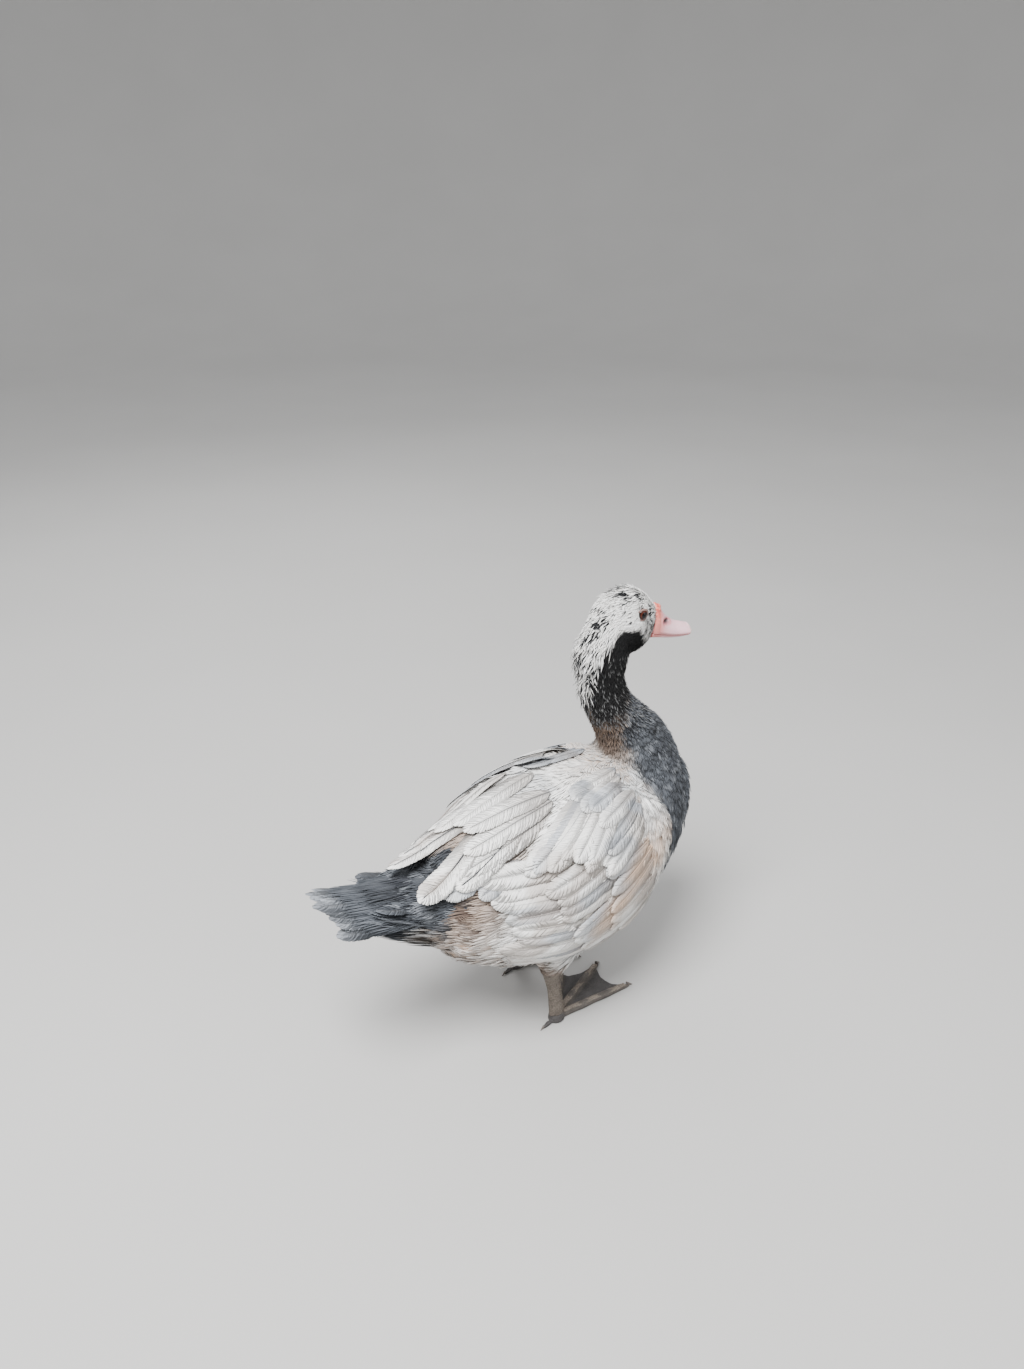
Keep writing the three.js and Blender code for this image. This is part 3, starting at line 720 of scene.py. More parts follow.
@dataclass(frozen=True)
class Markings:
    """Which colour the plumage has where, shared by the skin and the coat."""

    seed: int = 31

    def mix(self, base: Array, colour: Array, share: Array) -> Array:
        """Blend a colour over the base."""
        share = np.clip(share, 0.0, 1.0)[:, None]
        return base * (1 - share) + colour * share

    def ground(self, p: Array) -> tuple[Array, Array]:
        """Colour and edge colour of the coat, with painted shade under the belly on the low thigh.

        Args:
            p: Places in the stance frame.

        Returns:
            The middle colour and the edge colour of a feather rooted there.
        """
        x, z = p[:, 0], p[:, 2]
        patch, fine = ripple(p, 34, self.seed), ripple(p, 12, self.seed + 1)
        back = smooth(215, 250, z) * smooth(-50, 30, x)
        mantle = smooth(20, 74, x) * smooth(234, 260, z)
        low = 1 - smooth(120, 205, z)
        # thigh: painted shade under the belly, which darkens the low thigh towards brown
        thigh = 0.8 * (1 - smooth(74, 94, z))
        band = self.buff(p)
        slate_edge = curve((100, 180, 250, 281, 299, 320, 340, 347, 354), (122, 118, 101, 94, 85, 79, 83, 87, 100))(z)
        breast = smooth(-7, 7, x + 5 * fine - slate_edge) * smooth(66, 100, z)
        collar = smooth(272, 300, z + 6 * fine) * (1 - smooth(-5, 6, x - slate_edge + 5 * fine))
        line = curve((150, 195, 219, 235), (-134, -112, -98, -92))(z)
        mottle = ripple(p, 20, self.seed + 6)
        rump = 1 - smooth(14, 66, x - line + 12 * patch)
        dark = 1 - smooth(-6, 8, x - line + 6 * fine)
        under = smooth(0, 34, TAIL.z + 0.2 * (TAIL.x - x) - z - 12) * (1 - smooth(-118, -60, x))
        c = edge = np.tile(Tone.WHITE, (len(p), 1))
        for tone, share in (
            (Tone.BLUE_GREY, 0.75 * smooth(-0.5, 0.7, patch + 0.4 * fine) * back),
            (Tone.BUFF * 0.66, 0.8 * mantle * smooth(-0.6, 0.4, fine - patch)),
            (Tone.PALE * 0.9, 0.7 * low),
            (Tone.BUFF * 0.8, 0.5 * low * smooth(-0.2, 0.6, patch)),
            # painted shade under the belly on the low thigh
            (Tone.BROWN * 1.2, thigh),
            (Tone.BUFF * 0.86, band),
            (Tone.SLATE * 0.8, breast),
            (Tone.DEEP * 0.85, breast * smooth(-0.3, 0.5, fine)),
            (Tone.BUFF * 0.7, breast * (1 - smooth(112, 168, z)) * 0.7),
            (Tone.BROWN * 0.7, 0.95 * collar),
            (Tone.DEEP, 0.85 * collar * smooth(-0.4, 0.6, fine) * smooth(278, 320, z)),
            (Tone.BROWN * 1.1, rump * 0.8),
            (Tone.UMBER * 0.7, rump * 0.9 * smooth(0.0, 0.45, mottle)),
            (Tone.SLATE * 0.7, dark),
            (Tone.DEEP * 0.75, dark * smooth(-0.3, 0.5, mottle + 0.4 * fine)),
            (Tone.BUFF * 0.68, under * 0.8),
        ):
            c = self.mix(c, tone, share)
        for tone, share in (
            (Tone.PALE * 0.9, 0.6 * smooth(-0.2, 0.8, patch) * back),
            (Tone.PALE * 0.86, 0.8 * mantle),
            # painted shade on the edges of the low thigh's feathers
            (Tone.BUFF * 0.5, thigh),
            (Tone.BUFF, 0.8 * band),
            (Tone.SLATE * (0.9 + 0.45 * ripple(p, 8, self.seed + 9))[:, None], breast),
            (Tone.PALE * 0.9, breast * (1 - smooth(112, 168, z)) * 0.7),
            (Tone.BUFF * 0.34 - 0.1 * smooth(280, 324, z)[:, None], 0.9 * collar),
            (Tone.BUFF * 0.55, rump * 0.85),
            (Tone.BROWN * 0.7, rump * 0.8 * smooth(0.1, 0.5, mottle)),
            (Tone.SLATE * 0.8, dark),
            (Tone.PALE * 0.95, under * 0.7),
        ):
            edge = self.mix(edge, tone, share)
        return self._head_and_neck(p, c, edge)

    def buff(self, p: Array) -> Array:
        """Share of the warm band across shoulder and low front of the wing.

        Args:
            p: Places in the stance frame.

        Returns:
            Shares.
        """
        x, z = p[:, 0], p[:, 2]
        line = curve((-12, 19, 54, 74, 98, 112), (140, 162, 196, 210, 214, 226))(x)
        side = smooth(46, 62, np.abs(p[:, 1])) * smooth(-16, 22, x)
        return (side * np.exp(-(((z - line) / 22) ** 2)) * (0.85 + 0.3 * ripple(p, 16, self.seed + 5))).clip(0, 1)

    def tint(self, p: Array, c: Array) -> Array:
        """Clouds of blue-grey, brown and buff that run across the wing's long feathers.

        Args:
            p: Places in the stance frame.
            c: Colours there.

        Returns:
            The colours with their clouds.
        """
        x, z = p[:, 0], p[:, 2]
        cloud, smudge = ripple(p, 26, self.seed + 7), ripple(p, 15, self.seed + 8)
        blue = smooth(-0.2, 0.6, cloud + 0.4 * smudge) * smooth(-20, 30, x) * smooth(200, 240, z)
        c = self.mix(c, Tone.BLUE_GREY * 0.92, 0.9 * blue)
        dusk = 0.6 * smooth(-0.1, 0.7, smudge - 0.5 * cloud) * (1 - smooth(225, 262, z))
        c = self.mix(c, 0.34 * Tone.BUFF + 0.36 * Tone.PALE, dusk)
        return self.mix(c, Tone.BUFF * 0.92, self.buff(p))

    def _head_and_neck(self, p: Array, c: Array, edge: Array) -> tuple[Array, Array]:
        """Lay the neck's and the head's own colours over the ground.

        Args:
            p: Places in the stance frame.
            c: Middle colours.
            edge: Edge colours.

        Returns:
            Both, changed.
        """
        x, z = p[:, 0], p[:, 2]
        fine = ripple(p, 7, self.seed + 2)
        start = curve((50, 68, 79, 87, 100), (333, 326, 330, 347, 354))(x)
        black = smooth(-13, 5, z + 7 * fine - start)
        c = self.mix(c, Tone.BLACK * 1.3, black)
        edge = self.mix(edge, Tone.BLACK * 1.6, black)
        white = self.white(p)
        c = self.mix(c, Tone.WHITE, white)
        edge = self.mix(edge, Tone.WHITE, white)
        own = HEAD.local(p)
        lore = ((own[:, 0] - 22.5) / 2.4) ** 2 + ((own[:, 2] + 1.5) / 8.5) ** 2
        ink = (1 - smooth(0.5, 1.3, lore)) * smooth(6, 9, np.abs(own[:, 1])) * 0.3
        return self.mix(c, Tone.BLACK, ink), self.mix(edge, Tone.BLACK, ink)

    def white(self, p: Array) -> Array:
        """Share of white on the head and down the nape, above the black of cheek, throat and neck.

        Args:
            p: Places in the stance frame.

        Returns:
            Shares.
        """
        x, z = p[:, 0], p[:, 2]
        fine = ripple(p, 6, self.seed + 3)
        line = curve((48, 51, 54, 58, 63, 70, 76, 88, 97, 106, 113, 122),
                     (337, 372, 392, 401, 406, 411, 418, 420, 415, 408, 401, 399))
        return smooth(-2.5, 2.5, z - line(x + 1.8 * fine) + 1.5 * fine) * smooth(332, 340, z)

    def streaks(self, p: Array) -> Array:
        """Chance of a black feather among the white ones.

        Args:
            p: Places in the stance frame.

        Returns:
            Chances.
        """
        own = HEAD.local(p)
        s, side, u = own[:, 0], np.abs(own[:, 1]), own[:, 2]
        chance = 0.03 + 0.75 * smooth(20, 26, u) * smooth(1, 5, side) * (1 - smooth(16, 26, s))
        chance += 0.10 * smooth(12, 30, -s) + 0.12 * smooth(6, 22, -u) * smooth(4, 16, -s)
        hind = np.linalg.norm(p - np.array([56, 0, 430]), axis=1)
        chance += 0.3 * (1 - smooth(6, 12, np.abs(hind - 9)))
        chance += 0.45 * smooth(19, 24, s) * smooth(-18, -12, u) * (1 - smooth(16, 24, u)) * smooth(4, 8, side)
        eye = np.linalg.norm(own - np.array(HEAD.eye) * np.sign(own[:, 1:2]) ** [0, 1, 0], axis=1)
        chance += 0.10 * smooth(7, 9, eye) * (1 - smooth(14, 20, eye))
        clump = 0.45 + 1.2 * smooth(-0.2, 0.8, ripple(p, 6, self.seed + 4))
        return np.where(p[:, 2] > 402, chance * clump, 0.2 + 0.3 * clump)

    def specks(self, p: Array) -> Array:
        """Chance of a pale speck on the black neck."""
        z = p[:, 2]
        return smooth(312, 330, z) * (1 - smooth(394, 400, z)) * (0.14 + 0.3 * (1 - smooth(326, 366, z)))

    def feathers(self, p: Array, rng: Chance) -> tuple[Array, Array]:
        """Middle and edge colours of single feathers, with each one's own chance.

        Args:
            p: Places in the stance frame.
            rng: Source of chance.

        Returns:
            Both colours of each feather.
        """
        c, edge = self.ground(p)
        luck = rng.random(len(p))
        white = self.white(p)
        ink = (luck < self.streaks(p)) & (white > 0.5)
        c[ink], edge[ink] = Tone.BLACK, Tone.DEEP
        speck = (luck > 1 - self.specks(p)) & (white < 0.3)
        edge[speck] = Tone.PALE * 0.4
        spot = (rng.random(len(p)) < 0.3) & (edge[:, 0] < 0.13) & (edge[:, 0] > 0.035)
        edge[spot] = Tone.BLUE_GREY * 0.62
        shade = (1 + 0.07 * rng.normal(size=(len(p), 1))).clip(0.75, 1.2)
        return np.clip(c * shade, 0.005, 0.9), np.clip(edge * shade, 0.005, 0.92)


MARKINGS = Markings()


# Feathers


@dataclass
class Spines:
    """Middle lines of many feathers, by feather and step."""

    points: Array
    normals: Array
    steps: Array
    half: Array
    camber: float = 0.08

    def at(self, share: Array, across: Array, rise: Array) -> tuple[Array, Array]:
        """Places on the feathers.

        Args:
            share: Share of the length, by feather and then any shape.
            across: Share of the half width there.
            rise: Height above the feather.

        Returns:
            Points and outward directions.
        """
        share, across, rise = np.broadcast_arrays(share, across, rise)
        sides = unit(np.cross(self.normals, unit(np.gradient(self.points, axis=1))))
        i = np.clip(np.searchsorted(self.steps, share, side="right") - 1, 0, len(self.steps) - 2)
        f = ((share - self.steps[i]) / (self.steps[i + 1] - self.steps[i]))[..., None]
        each = (-1,) + (1,) * (share.ndim - 1)
        row = np.arange(len(self.points)).reshape(each)
        point, normal, side = (v[row, i] * (1 - f) + v[row, i + 1] * f for v in (self.points, self.normals, sides))
        half = self.half.reshape(each)
        lift = rise - self.camber * half * across**2
        return point + side * (across * half)[..., None] + normal * lift[..., None], normal


def baking(bake: Array, across: Array, share: Array) -> Array:
    """Baking places: in a small patch round each feather's root, or in a long feather's own island.

    Args:
        bake: Root or island of each feather.
        across: Place across it.
        share: Place along it.

    Returns:
        Places on the map.
    """
    each = bake.reshape(len(bake), *(1,) * (share.ndim - 1), -1)
    spot = np.stack(np.broadcast_arrays(0.5 + 0.5 * across, share), -1)
    if bake.shape[1] == 2:
        return each + PATCH * (spot - 0.5)
    return each[..., :2] + spot.clip(0, 1) * each[..., 2:]


def tubes(ring: Array, colour: Array, bake: Array) -> Sheet:
    """Close rings into tubes.

    Args:
        ring: Points by tube, step and place round it.
        colour: Their colours.
        bake: Their baking places.

    Returns:
        The gathered triangles.
    """
    count, steps, size = ring.shape[:3]
    index = np.arange(count * steps * size).reshape(count, steps, size)
    beside = np.roll(index, -1, axis=2)
    a, b, c, d = index[:, :-1], index[:, 1:], beside[:, 1:], beside[:, :-1]
    faces = [np.stack([a, b, c], -1), np.stack([a, c, d], -1)]
    for k in range(1, size - 1):
        faces += [index[:, 0][:, [0, k, k + 1]], index[:, -1][:, [0, k + 1, k]]]
    return Sheet(ring.reshape(-1, 3), np.vstack([f.reshape(-1, 3) for f in faces]), colour.reshape(-1, 3),
                 bake.reshape(-1, 2))


def bundles(lines: Spines, share: Array, across: Array, rise: Array, width: Array, colour: Array, bake: Array,
            plump: float = 0.26) -> Sheet:
    """Lay narrow bundles of barbs on feathers.

    Args:
        lines: The feathers.
        share: Place along the feather, by feather, bundle and step.
        across: Place across it, as a share of the half width.
        rise: Height above it.
        width: Half width of the bundle.
        colour: Its colour.
        bake: Baking place of each feather.
        plump: Its height, as a share of its half width.

    Returns:
        The gathered triangles.
    """
    share, across, rise, width = np.broadcast_arrays(share, across, rise, width)
    centre, normal = lines.at(share, across, rise)
    side = unit(np.cross(normal, unit(np.gradient(centre, axis=2)))) * width[..., None]
    up = normal * (plump * width + 0.05)[..., None]
    ring = np.stack([centre - side, centre + up, centre + side, centre - 0.6 * up], 3)
    tall = (share.shape[0] * share.shape[1], share.shape[2], 4)

    def round_ring(value: Array) -> Array:
        """The same value at every place of a ring."""
        return np.repeat(value[..., None, :], 4, axis=-2).reshape(*tall, -1)

    return tubes(ring.reshape(*tall, 3), round_ring(np.broadcast_to(colour, (*share.shape, 3))),
                 round_ring(baking(bake, across, share)))


TUFT_STEPS = np.array([0.0, 0.4, 0.75, 1.0])
TUFT_WIDTHS = np.array([0.7, 1.0, 0.72, 0.12])


def fans(lines: Spines, count: int, colours: tuple[Array, Array], bake: Array, rng: Chance) -> Sheet:
    """Split small feathers into fans of bundles.

    Args:
        lines: The feathers.
        count: Bundles a feather.
        colours: Middle and edge colour of each feather.
        bake: Baking place of each feather.
        rng: Source of chance.

    Returns:
        The gathered triangles.
    """
    size = (len(lines.points), count, 1)
    f = (np.linspace(-1, 1, count) if count > 1 else np.zeros(1))[None, :, None]
    f = f + rng.normal(size=size) * (0.5 / count if count > 1 else 0.0)
    reach = np.sqrt(1 - 0.55 * np.clip(f, -1, 1) ** 2) * (1 + 0.07 * rng.normal(size=size))
    share = TUFT_STEPS * reach
    across = f * (0.35 + 0.65 * smooth(0, 0.55, share))
    rise = (0.5 * rng.random(size) + 0.25 * (np.arange(count) % 2)[None, :, None]) * (0.3 + 0.7 * TUFT_STEPS)
    width = lines.half[:, None, None] / count * (1.7 if count > 1 else 1.0) * TUFT_WIDTHS
    rim = np.maximum(smooth(0.45, 1.0, np.abs(f)) * 0.85, smooth(0.5, 1.0, TUFT_STEPS))[..., None]
    middle, edge = (v[:, None, None] for v in colours)
    shade = 1 + 0.05 * rng.normal(size=(*size, 1))
    return bundles(lines, share, across, rise, width, (middle * (1 - rim) + edge * rim) * shade, bake)


@dataclass(frozen=True)
class Quills:
    """How long feathers are cut: a thin closed blade each, under barbs that slant from the shaft."""

    across: Floats = (-1.0, -0.5, -0.05, 0.0, 0.05, 0.5, 1.0)
    thick: float = 0.5
    ridge: float = 0.3
    barbs: int = 50
    slant: float = 0.13

    def steps(self) -> Array:
        """Shares of the length where the blade is cut, closer at the tip."""
        return np.concatenate([np.linspace(0, 0.9, 16), [0.94, 0.97, 0.99, 1.0]])

    def width(self, share: Array) -> Array:
        """The outline, as a share of the half width."""
        return curve((0, 0.12, 0.35, 0.7, 0.86, 0.94, 0.98, 1), (0.25, 0.7, 0.98, 1.0, 0.88, 0.64, 0.38, 0.08))(share)

    def cut(self, lines: Spines, colours: Sequence[Array], ink: float, bake: Array, rng: Chance) -> Sheet:
        """Cut blades and barbs.

        Args:
            lines: The feathers.
            colours: Root, middle and tip colour of each.
            ink: How dark the shaft's line is.
            bake: Each feather's own baking island.
            rng: Source of chance.

        Returns:
            The gathered triangles.
        """
        share, u = lines.steps[None, :, None], np.array(self.across)
        fine = 0.9 * self.width(share) * u
        top, _ = lines.at(np.repeat(share, len(lines.points), 0), fine, self.ridge * (u == 0) * (1 - 0.6 * share))
        low, _ = lines.at(np.repeat(share, len(lines.points), 0), 0.0, -self.thick * (1 - 0.6 * share))
        round_u = np.append(fine + 0 * share, 0 * share, axis=2)
        colour = self.tone(colours, share + 0 * round_u)
        rod = np.repeat(np.linspace(0, 0.93, 10)[None, None], len(bake), 0)
        sheets = [
            tubes(np.concatenate([top, low], 2), colour,
                  baking(bake, round_u, share + 0 * round_u + np.zeros((len(bake), 1, 1)))),
            bundles(lines, rod, 0.0, 0.4, (0.32 + 0.7 * ink) * (1 - 0.55 * rod),
                    self.tone(colours, rod) * (1 - ink) + Tone.DEEP * ink, bake, 0.9),
        ]
        r = np.array([0.0, 0.4, 0.75, 1.0])
        for side in (-1, 1):
            size = (len(lines.points), self.barbs, 1)
            p = np.linspace(0.02, 0.985, self.barbs)[None, :, None] + 0.004 * rng.normal(size=size)
            wave = ripple(np.stack([p * 60, np.arange(size[0])[:, None, None] * 9.0 + 0 * p, 0 * p + side], -1), 9, 5)
            end = np.clip(p + self.slant * (1.15 - 0.5 * p) + 0.016 * wave, 0, 1.004)
            reach = (self.width(end) * 1.03 + 0.014 * rng.normal(size=size) - 0.14 * smooth(0.8, 1.1, wave)).clip(0.05)
            along = p + (end - p) * r**1.2
            lateral = side * (0.055 + (reach - 0.055) * r**0.9)
            span = np.linalg.norm(lines.points[:, -1] - lines.points[:, 0], axis=1)[:, None, None]
            wide = span / self.barbs * 0.95 * np.array([0.6, 1.0, 0.95, 0.45])
            tone = self.tone(colours, along) * (1 + 0.014 * rng.normal(size=(*size, 1)))
            sheets.append(bundles(lines, along, lateral, 0.1 + 0.1 * rng.random(size), wide, tone, bake, 0.04))
        return gather(sheets)

    def tone(self, colours: Sequence[Array], share: Array) -> Array:
        """Colour along the feathers.

        Args:
            colours: Root, middle and tip colour of each.
            share: Places along them.

        Returns:
            Colours.
        """
        root, middle, tip = (c[:, None, None] for c in colours)
        early, late = (1 - smooth(0.15, 0.66, share))[..., None], smooth(0.66, 1.0, share)[..., None]
        return middle * (1 - early - late) + root * early + tip * late


QUILLS = Quills()


def gather(sheets: Sequence[Sheet]) -> Sheet:
    """Join sheets into one.

    Args:
        sheets: What is joined.

    Returns:
        All their triangles.
    """
    starts = np.cumsum([0] + [len(s.points) for s in sheets[:-1]])
    return Sheet(
        np.vstack([s.points for s in sheets]),
        np.vstack([s.faces + start for s, start in zip(sheets, starts)]),
        np.vstack([s.colour for s in sheets]),
        np.vstack([s.bake for s in sheets]),
    )


# Shaders


class Value:
    """A shader socket that takes part in sums."""

    def __init__(self, tree: NodeTree, socket: object) -> None:
        """Wrap a socket or a number."""
        self.tree = tree
        self.socket = socket

    def _math(self, operation: str, *values: object, clamp: bool = False) -> "Value":
        """The result of a new Math node, held between 0 and 1 if wanted."""
        settings = {"operation": operation, "use_clamp": clamp}
        return Value(self.tree, add_node(self.tree, "ShaderNodeMath", settings, dict(enumerate(values))).outputs[0])

    def __add__(self, other: object) -> "Value":
        """Sum."""
        return self._math("ADD", self, other)

    def __radd__(self, other: object) -> "Value":
        """Sum, reflected."""
        return self._math("ADD", other, self)

    def __sub__(self, other: object) -> "Value":
        """Difference."""
        return self._math("SUBTRACT", self, other)

    def __rsub__(self, other: object) -> "Value":
        """Difference, reflected."""
        return self._math("SUBTRACT", other, self)

    def __mul__(self, other: object) -> "Value":
        """Product."""
        return self._math("MULTIPLY", self, other)

    def __rmul__(self, other: object) -> "Value":
        """Product, reflected."""
        return self._math("MULTIPLY", other, self)

    def clamp(self) -> "Value":
        """Held between 0 and 1."""
        return self._math("ADD", self, 0.0, clamp=True)


def plug(tree: NodeTree, value: object, slot: NodeSocket) -> None:
    """Link a socket, or set a number, colour or material.

    Args:
        tree: The node tree.
        value: What goes in.
        slot: The socket that takes it.
    """
    value = value.socket if isinstance(value, Value) else value
    if isinstance(value, NodeSocket):
        tree.links.new(value, slot)
    elif isinstance(value, (int, float, Material)):
        slot.default_value = value
    else:
        numbers = [float(v) for v in value]
        slot.default_value = numbers + [1.0] if len(slot.default_value) == 4 and len(numbers) == 3 else numbers


def add_node(tree: NodeTree, kind: str, settings: dict, inputs: dict) -> Node:
    """Add one node.

    Args:
        tree: The node tree.
        kind: The node's type.
        settings: Its own settings, set first.
        inputs: Values or links of its sockets.

    Returns:
        The node.
    """
    made = tree.nodes.new(kind)
    for key, value in settings.items():
        setattr(made, key, value)
    for key, value in inputs.items():
        plug(tree, value, made.inputs[key])
    return made


class Recipe:
    """A material under construction."""

    def __init__(self, name: str, **constants: object) -> None:
        """Start a material with its shader's fixed settings.

        Args:
            name: Its name.
            **constants: The settings, by socket.
        """
        self.material = bpy.data.materials.new(name)
        self.material.use_nodes = True
        self.tree = self.material.node_tree
        self.shader = self.tree.nodes["Principled BSDF"]
        for key, value in constants.items():
            plug(self.tree, value, self.shader.inputs[key.replace("_", " ")])

    def node(self, kind: str, settings: dict, inputs: dict, output: object = 0) -> Value:
        """The wanted output of a new node."""
        return Value(self.tree, add_node(self.tree, kind, settings, inputs).outputs[output])

    def coordinates(self) -> Value:
        """Places on the object, in metres."""
        return self.node("ShaderNodeTexCoord", {}, {}, "Object")

    def noise(self, scale: float, detail: float = 3.0) -> Value:
        """Noise over the object, with `scale` waves a metre."""
        inputs = {"Vector": self.coordinates(), "Scale": scale, "Detail": detail, "Roughness": 0.6}
        return self.node("ShaderNodeTexNoise", {}, inputs)

    def mix(self, share: object, first: object, second: object, blend: str = "MIX") -> Value:
        """A share of the second colour laid over the first."""
        settings = {"data_type": "RGBA", "blend_type": blend}
        return self.node("ShaderNodeMix", settings, {0: share, 6: first, 7: second}, 2)

    def attribute(self, name: str) -> Value:
        """A colour stored on the mesh."""
        return self.node("ShaderNodeAttribute", {"attribute_name": name}, {}, "Color")

    def bump(self, height: Value, strength: float, distance: float) -> None:
        """Relief on the surface."""
        normal = self.node("ShaderNodeBump", {}, {"Height": height, "Strength": strength, "Distance": distance})
        self.tree.links.new(normal.socket, self.shader.inputs["Normal"])

    def finish(self, colour: object, roughness: object) -> Material:
        """Set colour and roughness and hand over the material.

        Args:
            colour: Base colour.
            roughness: Roughness.

        Returns:
            The material.
        """
        plug(self.tree, colour, self.shader.inputs["Base Color"])
        plug(self.tree, roughness, self.shader.inputs["Roughness"])
        return self.material


@dataclass(frozen=True)
class PlumageFinish:
    """Feathers: the mesh carries their colour, with faint dusty patches and fine barbules over it."""

    name: str
    barbules: float
    relief: float

    def make(self) -> Material:
        """Build the material.

        Returns:
            The material.
        """
        r = Recipe(self.name, Sheen_Weight=0.06, Sheen_Roughness=0.5, Specular_IOR_Level=0.15)
        broad, fine = r.noise(55.0, 3.0), r.noise(self.barbules, 3.0)
        dust = r.mix(broad, (0.93, 0.93, 0.94), (1.05, 1.045, 1.035))
        colour = r.mix(1.0, r.attribute("plumage"), dust, "MULTIPLY")
        colour = r.mix(((0.55 - fine) * 2.2).clamp() * 0.5, colour, (0.72, 0.72, 0.74), "MULTIPLY")
        r.bump(fine, 0.4, self.relief)
        return r.finish(colour, (0.6 + 0.3 * fine).clamp())


@dataclass(frozen=True)
class SkinFinish:
    """Down and skin under the coat."""

    name: str = "under_down"

    def make(self) -> Material:
        """Build the material.

        Returns:
            The material.
        """
        r = Recipe(self.name, Sheen_Weight=0.1)
        fluff = r.noise(700.0, 4.0)
        colour = r.mix(1.0, r.attribute("plumage"), r.mix(fluff, (0.62, 0.62, 0.63), (1, 1, 1)), "MULTIPLY")
        r.bump(fluff, 0.6, 0.0008)
        return r.finish(colour, (0.75 + 0.2 * fluff).clamp())


@dataclass(frozen=True)
class PaintedSkinFinish:
    """Bare skin or horn whose broad colour lies on the mesh, with pores and fine mottling."""

    name: str
    grain: float
    relief: float
    roughness: float
    mottle: Colour = (0.9, 0.86, 0.86)
    coat: float = 0.0

    def make(self) -> Material:
        """Build the material.

        Returns:
            The material.
        """
        r = Recipe(self.name, Coat_Weight=self.coat, Coat_Roughness=0.25, Subsurface_Weight=0.06,
                   Subsurface_Scale=0.002)
        broad, pores = r.noise(120.0, 3.0), r.noise(self.grain, 4.0)
        colour = r.mix(1.0, r.attribute("hue"), r.mix(broad, self.mottle, (1.06, 1.05, 1.05)), "MULTIPLY")
        colour = r.mix((pores * 1.6 - 0.75).clamp() * 0.35, colour, [0.55 * m for m in self.mottle])
        r.bump(pores, 0.5, self.relief)
        return r.finish(colour, (self.roughness + 0.25 * (pores - 0.5)).clamp())


@dataclass(frozen=True)
class ScaleFinish:
    """Leg and foot skin: small plates with dark seams and dusty crowns."""

    name: str
    dark: Colour
    pale: Colour
    plates: float
    relief: float

    def make(self) -> Material:
        """Build the material.

        Returns:
            The material.
        """
        r = Recipe(self.name, Specular_IOR_Level=0.3)
        where = r.coordinates()
        bent = r.node("ShaderNodeVectorMath", {"operation": "ADD"}, {
            0: where, 1: r.node("ShaderNodeVectorMath", {"operation": "SCALE"}, {
                0: r.node("ShaderNodeTexNoise", {}, {"Vector": where, "Scale": 260.0}, "Color"), "Scale": 0.002})})
        cells = r.node("ShaderNodeTexVoronoi", {"feature": "DISTANCE_TO_EDGE"}, {"Vector": bent, "Scale": self.plates})
        crown = (cells * 9.0).clamp()
        dust = r.noise(90.0, 4.0)
        fine = r.noise(1500.0, 3.0)
        colour = r.mix((crown * (dust * 1.3 - 0.15)).clamp(), self.dark, self.pale)
        colour = r.mix(1.0, colour, r.attribute("hue"), "MULTIPLY")
        r.bump(crown + fine * 0.25, 0.7, self.relief)
        return r.finish(colour, (0.72 - 0.18 * crown + 0.1 * fine).clamp())


@dataclass(frozen=True)
class EyeFinish:
    """The wet eye: colour on the mesh, fibres in the iris and a clear front."""

    name: str = "eye_wet"

    def make(self) -> Material:
        """Build the material.

        Returns:
            The material.
        """
        r = Recipe(self.name, Coat_Weight=0.22, Coat_Roughness=0.02, Specular_IOR_Level=0.2)
        fibre = r.noise(2600.0, 2.0)
        colour = r.mix(1.0, r.attribute("hue"), r.mix(fibre, (0.72, 0.7, 0.66), (1.2, 1.15, 1.1)), "MULTIPLY")
        return r.finish(colour, (0.07 + 0.04 * fibre).clamp())


@dataclass(frozen=True)
class FloorFinish:
    """Plain pale studio floor, faintly uneven."""

    name: str = "studio_floor"

    def make(self) -> Material:
        """Build the material.

        Returns:
            The material.
        """
        r = Recipe(self.name)
        haze = r.noise(2.0, 2.0)
        return r.finish(r.mix(haze, (0.38, 0.375, 0.366), (0.42, 0.415, 0.406)), (0.8 + 0.1 * haze).clamp())


class Finishes:
    """Every finish, made once."""

    def __init__(self) -> None:
        """Build the materials."""
        self.coat = PlumageFinish("small_feathers", 900.0, 0.0003).make()
        self.quills = PlumageFinish("long_quills", 1100.0, 0.0002).make()
        self.down = SkinFinish().make()
        self.bill = PaintedSkinFinish("bill_horn", 900.0, 0.00025, 0.38, (0.9, 0.84, 0.86), 0.15).make()
        self.wart = PaintedSkinFinish("bare_red_skin", 1300.0, 0.0005, 0.48, (0.86, 0.74, 0.7), 0.1).make()
        self.lid = PaintedSkinFinish("eyelid_skin", 1500.0, 0.0004, 0.5).make()
        self.claw = PaintedSkinFinish("claw_horn", 800.0, 0.0002, 0.4, (0.8, 0.78, 0.76), 0.1).make()
        self.leg = ScaleFinish("leg_plates", (0.060, 0.053, 0.048), (0.235, 0.212, 0.190), 420.0, 0.0006).make()
        self.web = ScaleFinish("web_skin", (0.045, 0.042, 0.041), (0.135, 0.125, 0.120), 620.0, 0.0004).make()
        self.eye = EyeFinish().make()
        self.floor = FloorFinish().make()


def dress(thing: Thing, material: Material, slot: str, *nodes: str, hue: Array | None = None) -> None:
    """Give a piece its finish and its place in the part.

    Args:
        thing: The piece.
        material: Its finish.
        slot: Not used.
        *nodes: Nodes that it stands for.
        hue: Broad colour of bare parts, one for all points or one a point.
    """
    if hue is not None:
        paint(thing.data, "hue", np.broadcast_to(hue, (len(thing.data.vertices), 3)))
    shade_smooth(thing.data)
    thing.data.materials.clear()
    thing.data.materials.append(material)
    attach(thing, "root")
    if nodes:
        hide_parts(*nodes)
    LOG.info("%s: %d faces", thing.name, len(thing.data.polygons))


@dataclass
class Assembly:
    """A sub-assembly of the scene, with the finishes that dress it."""

    finishes: Finishes


# The skin


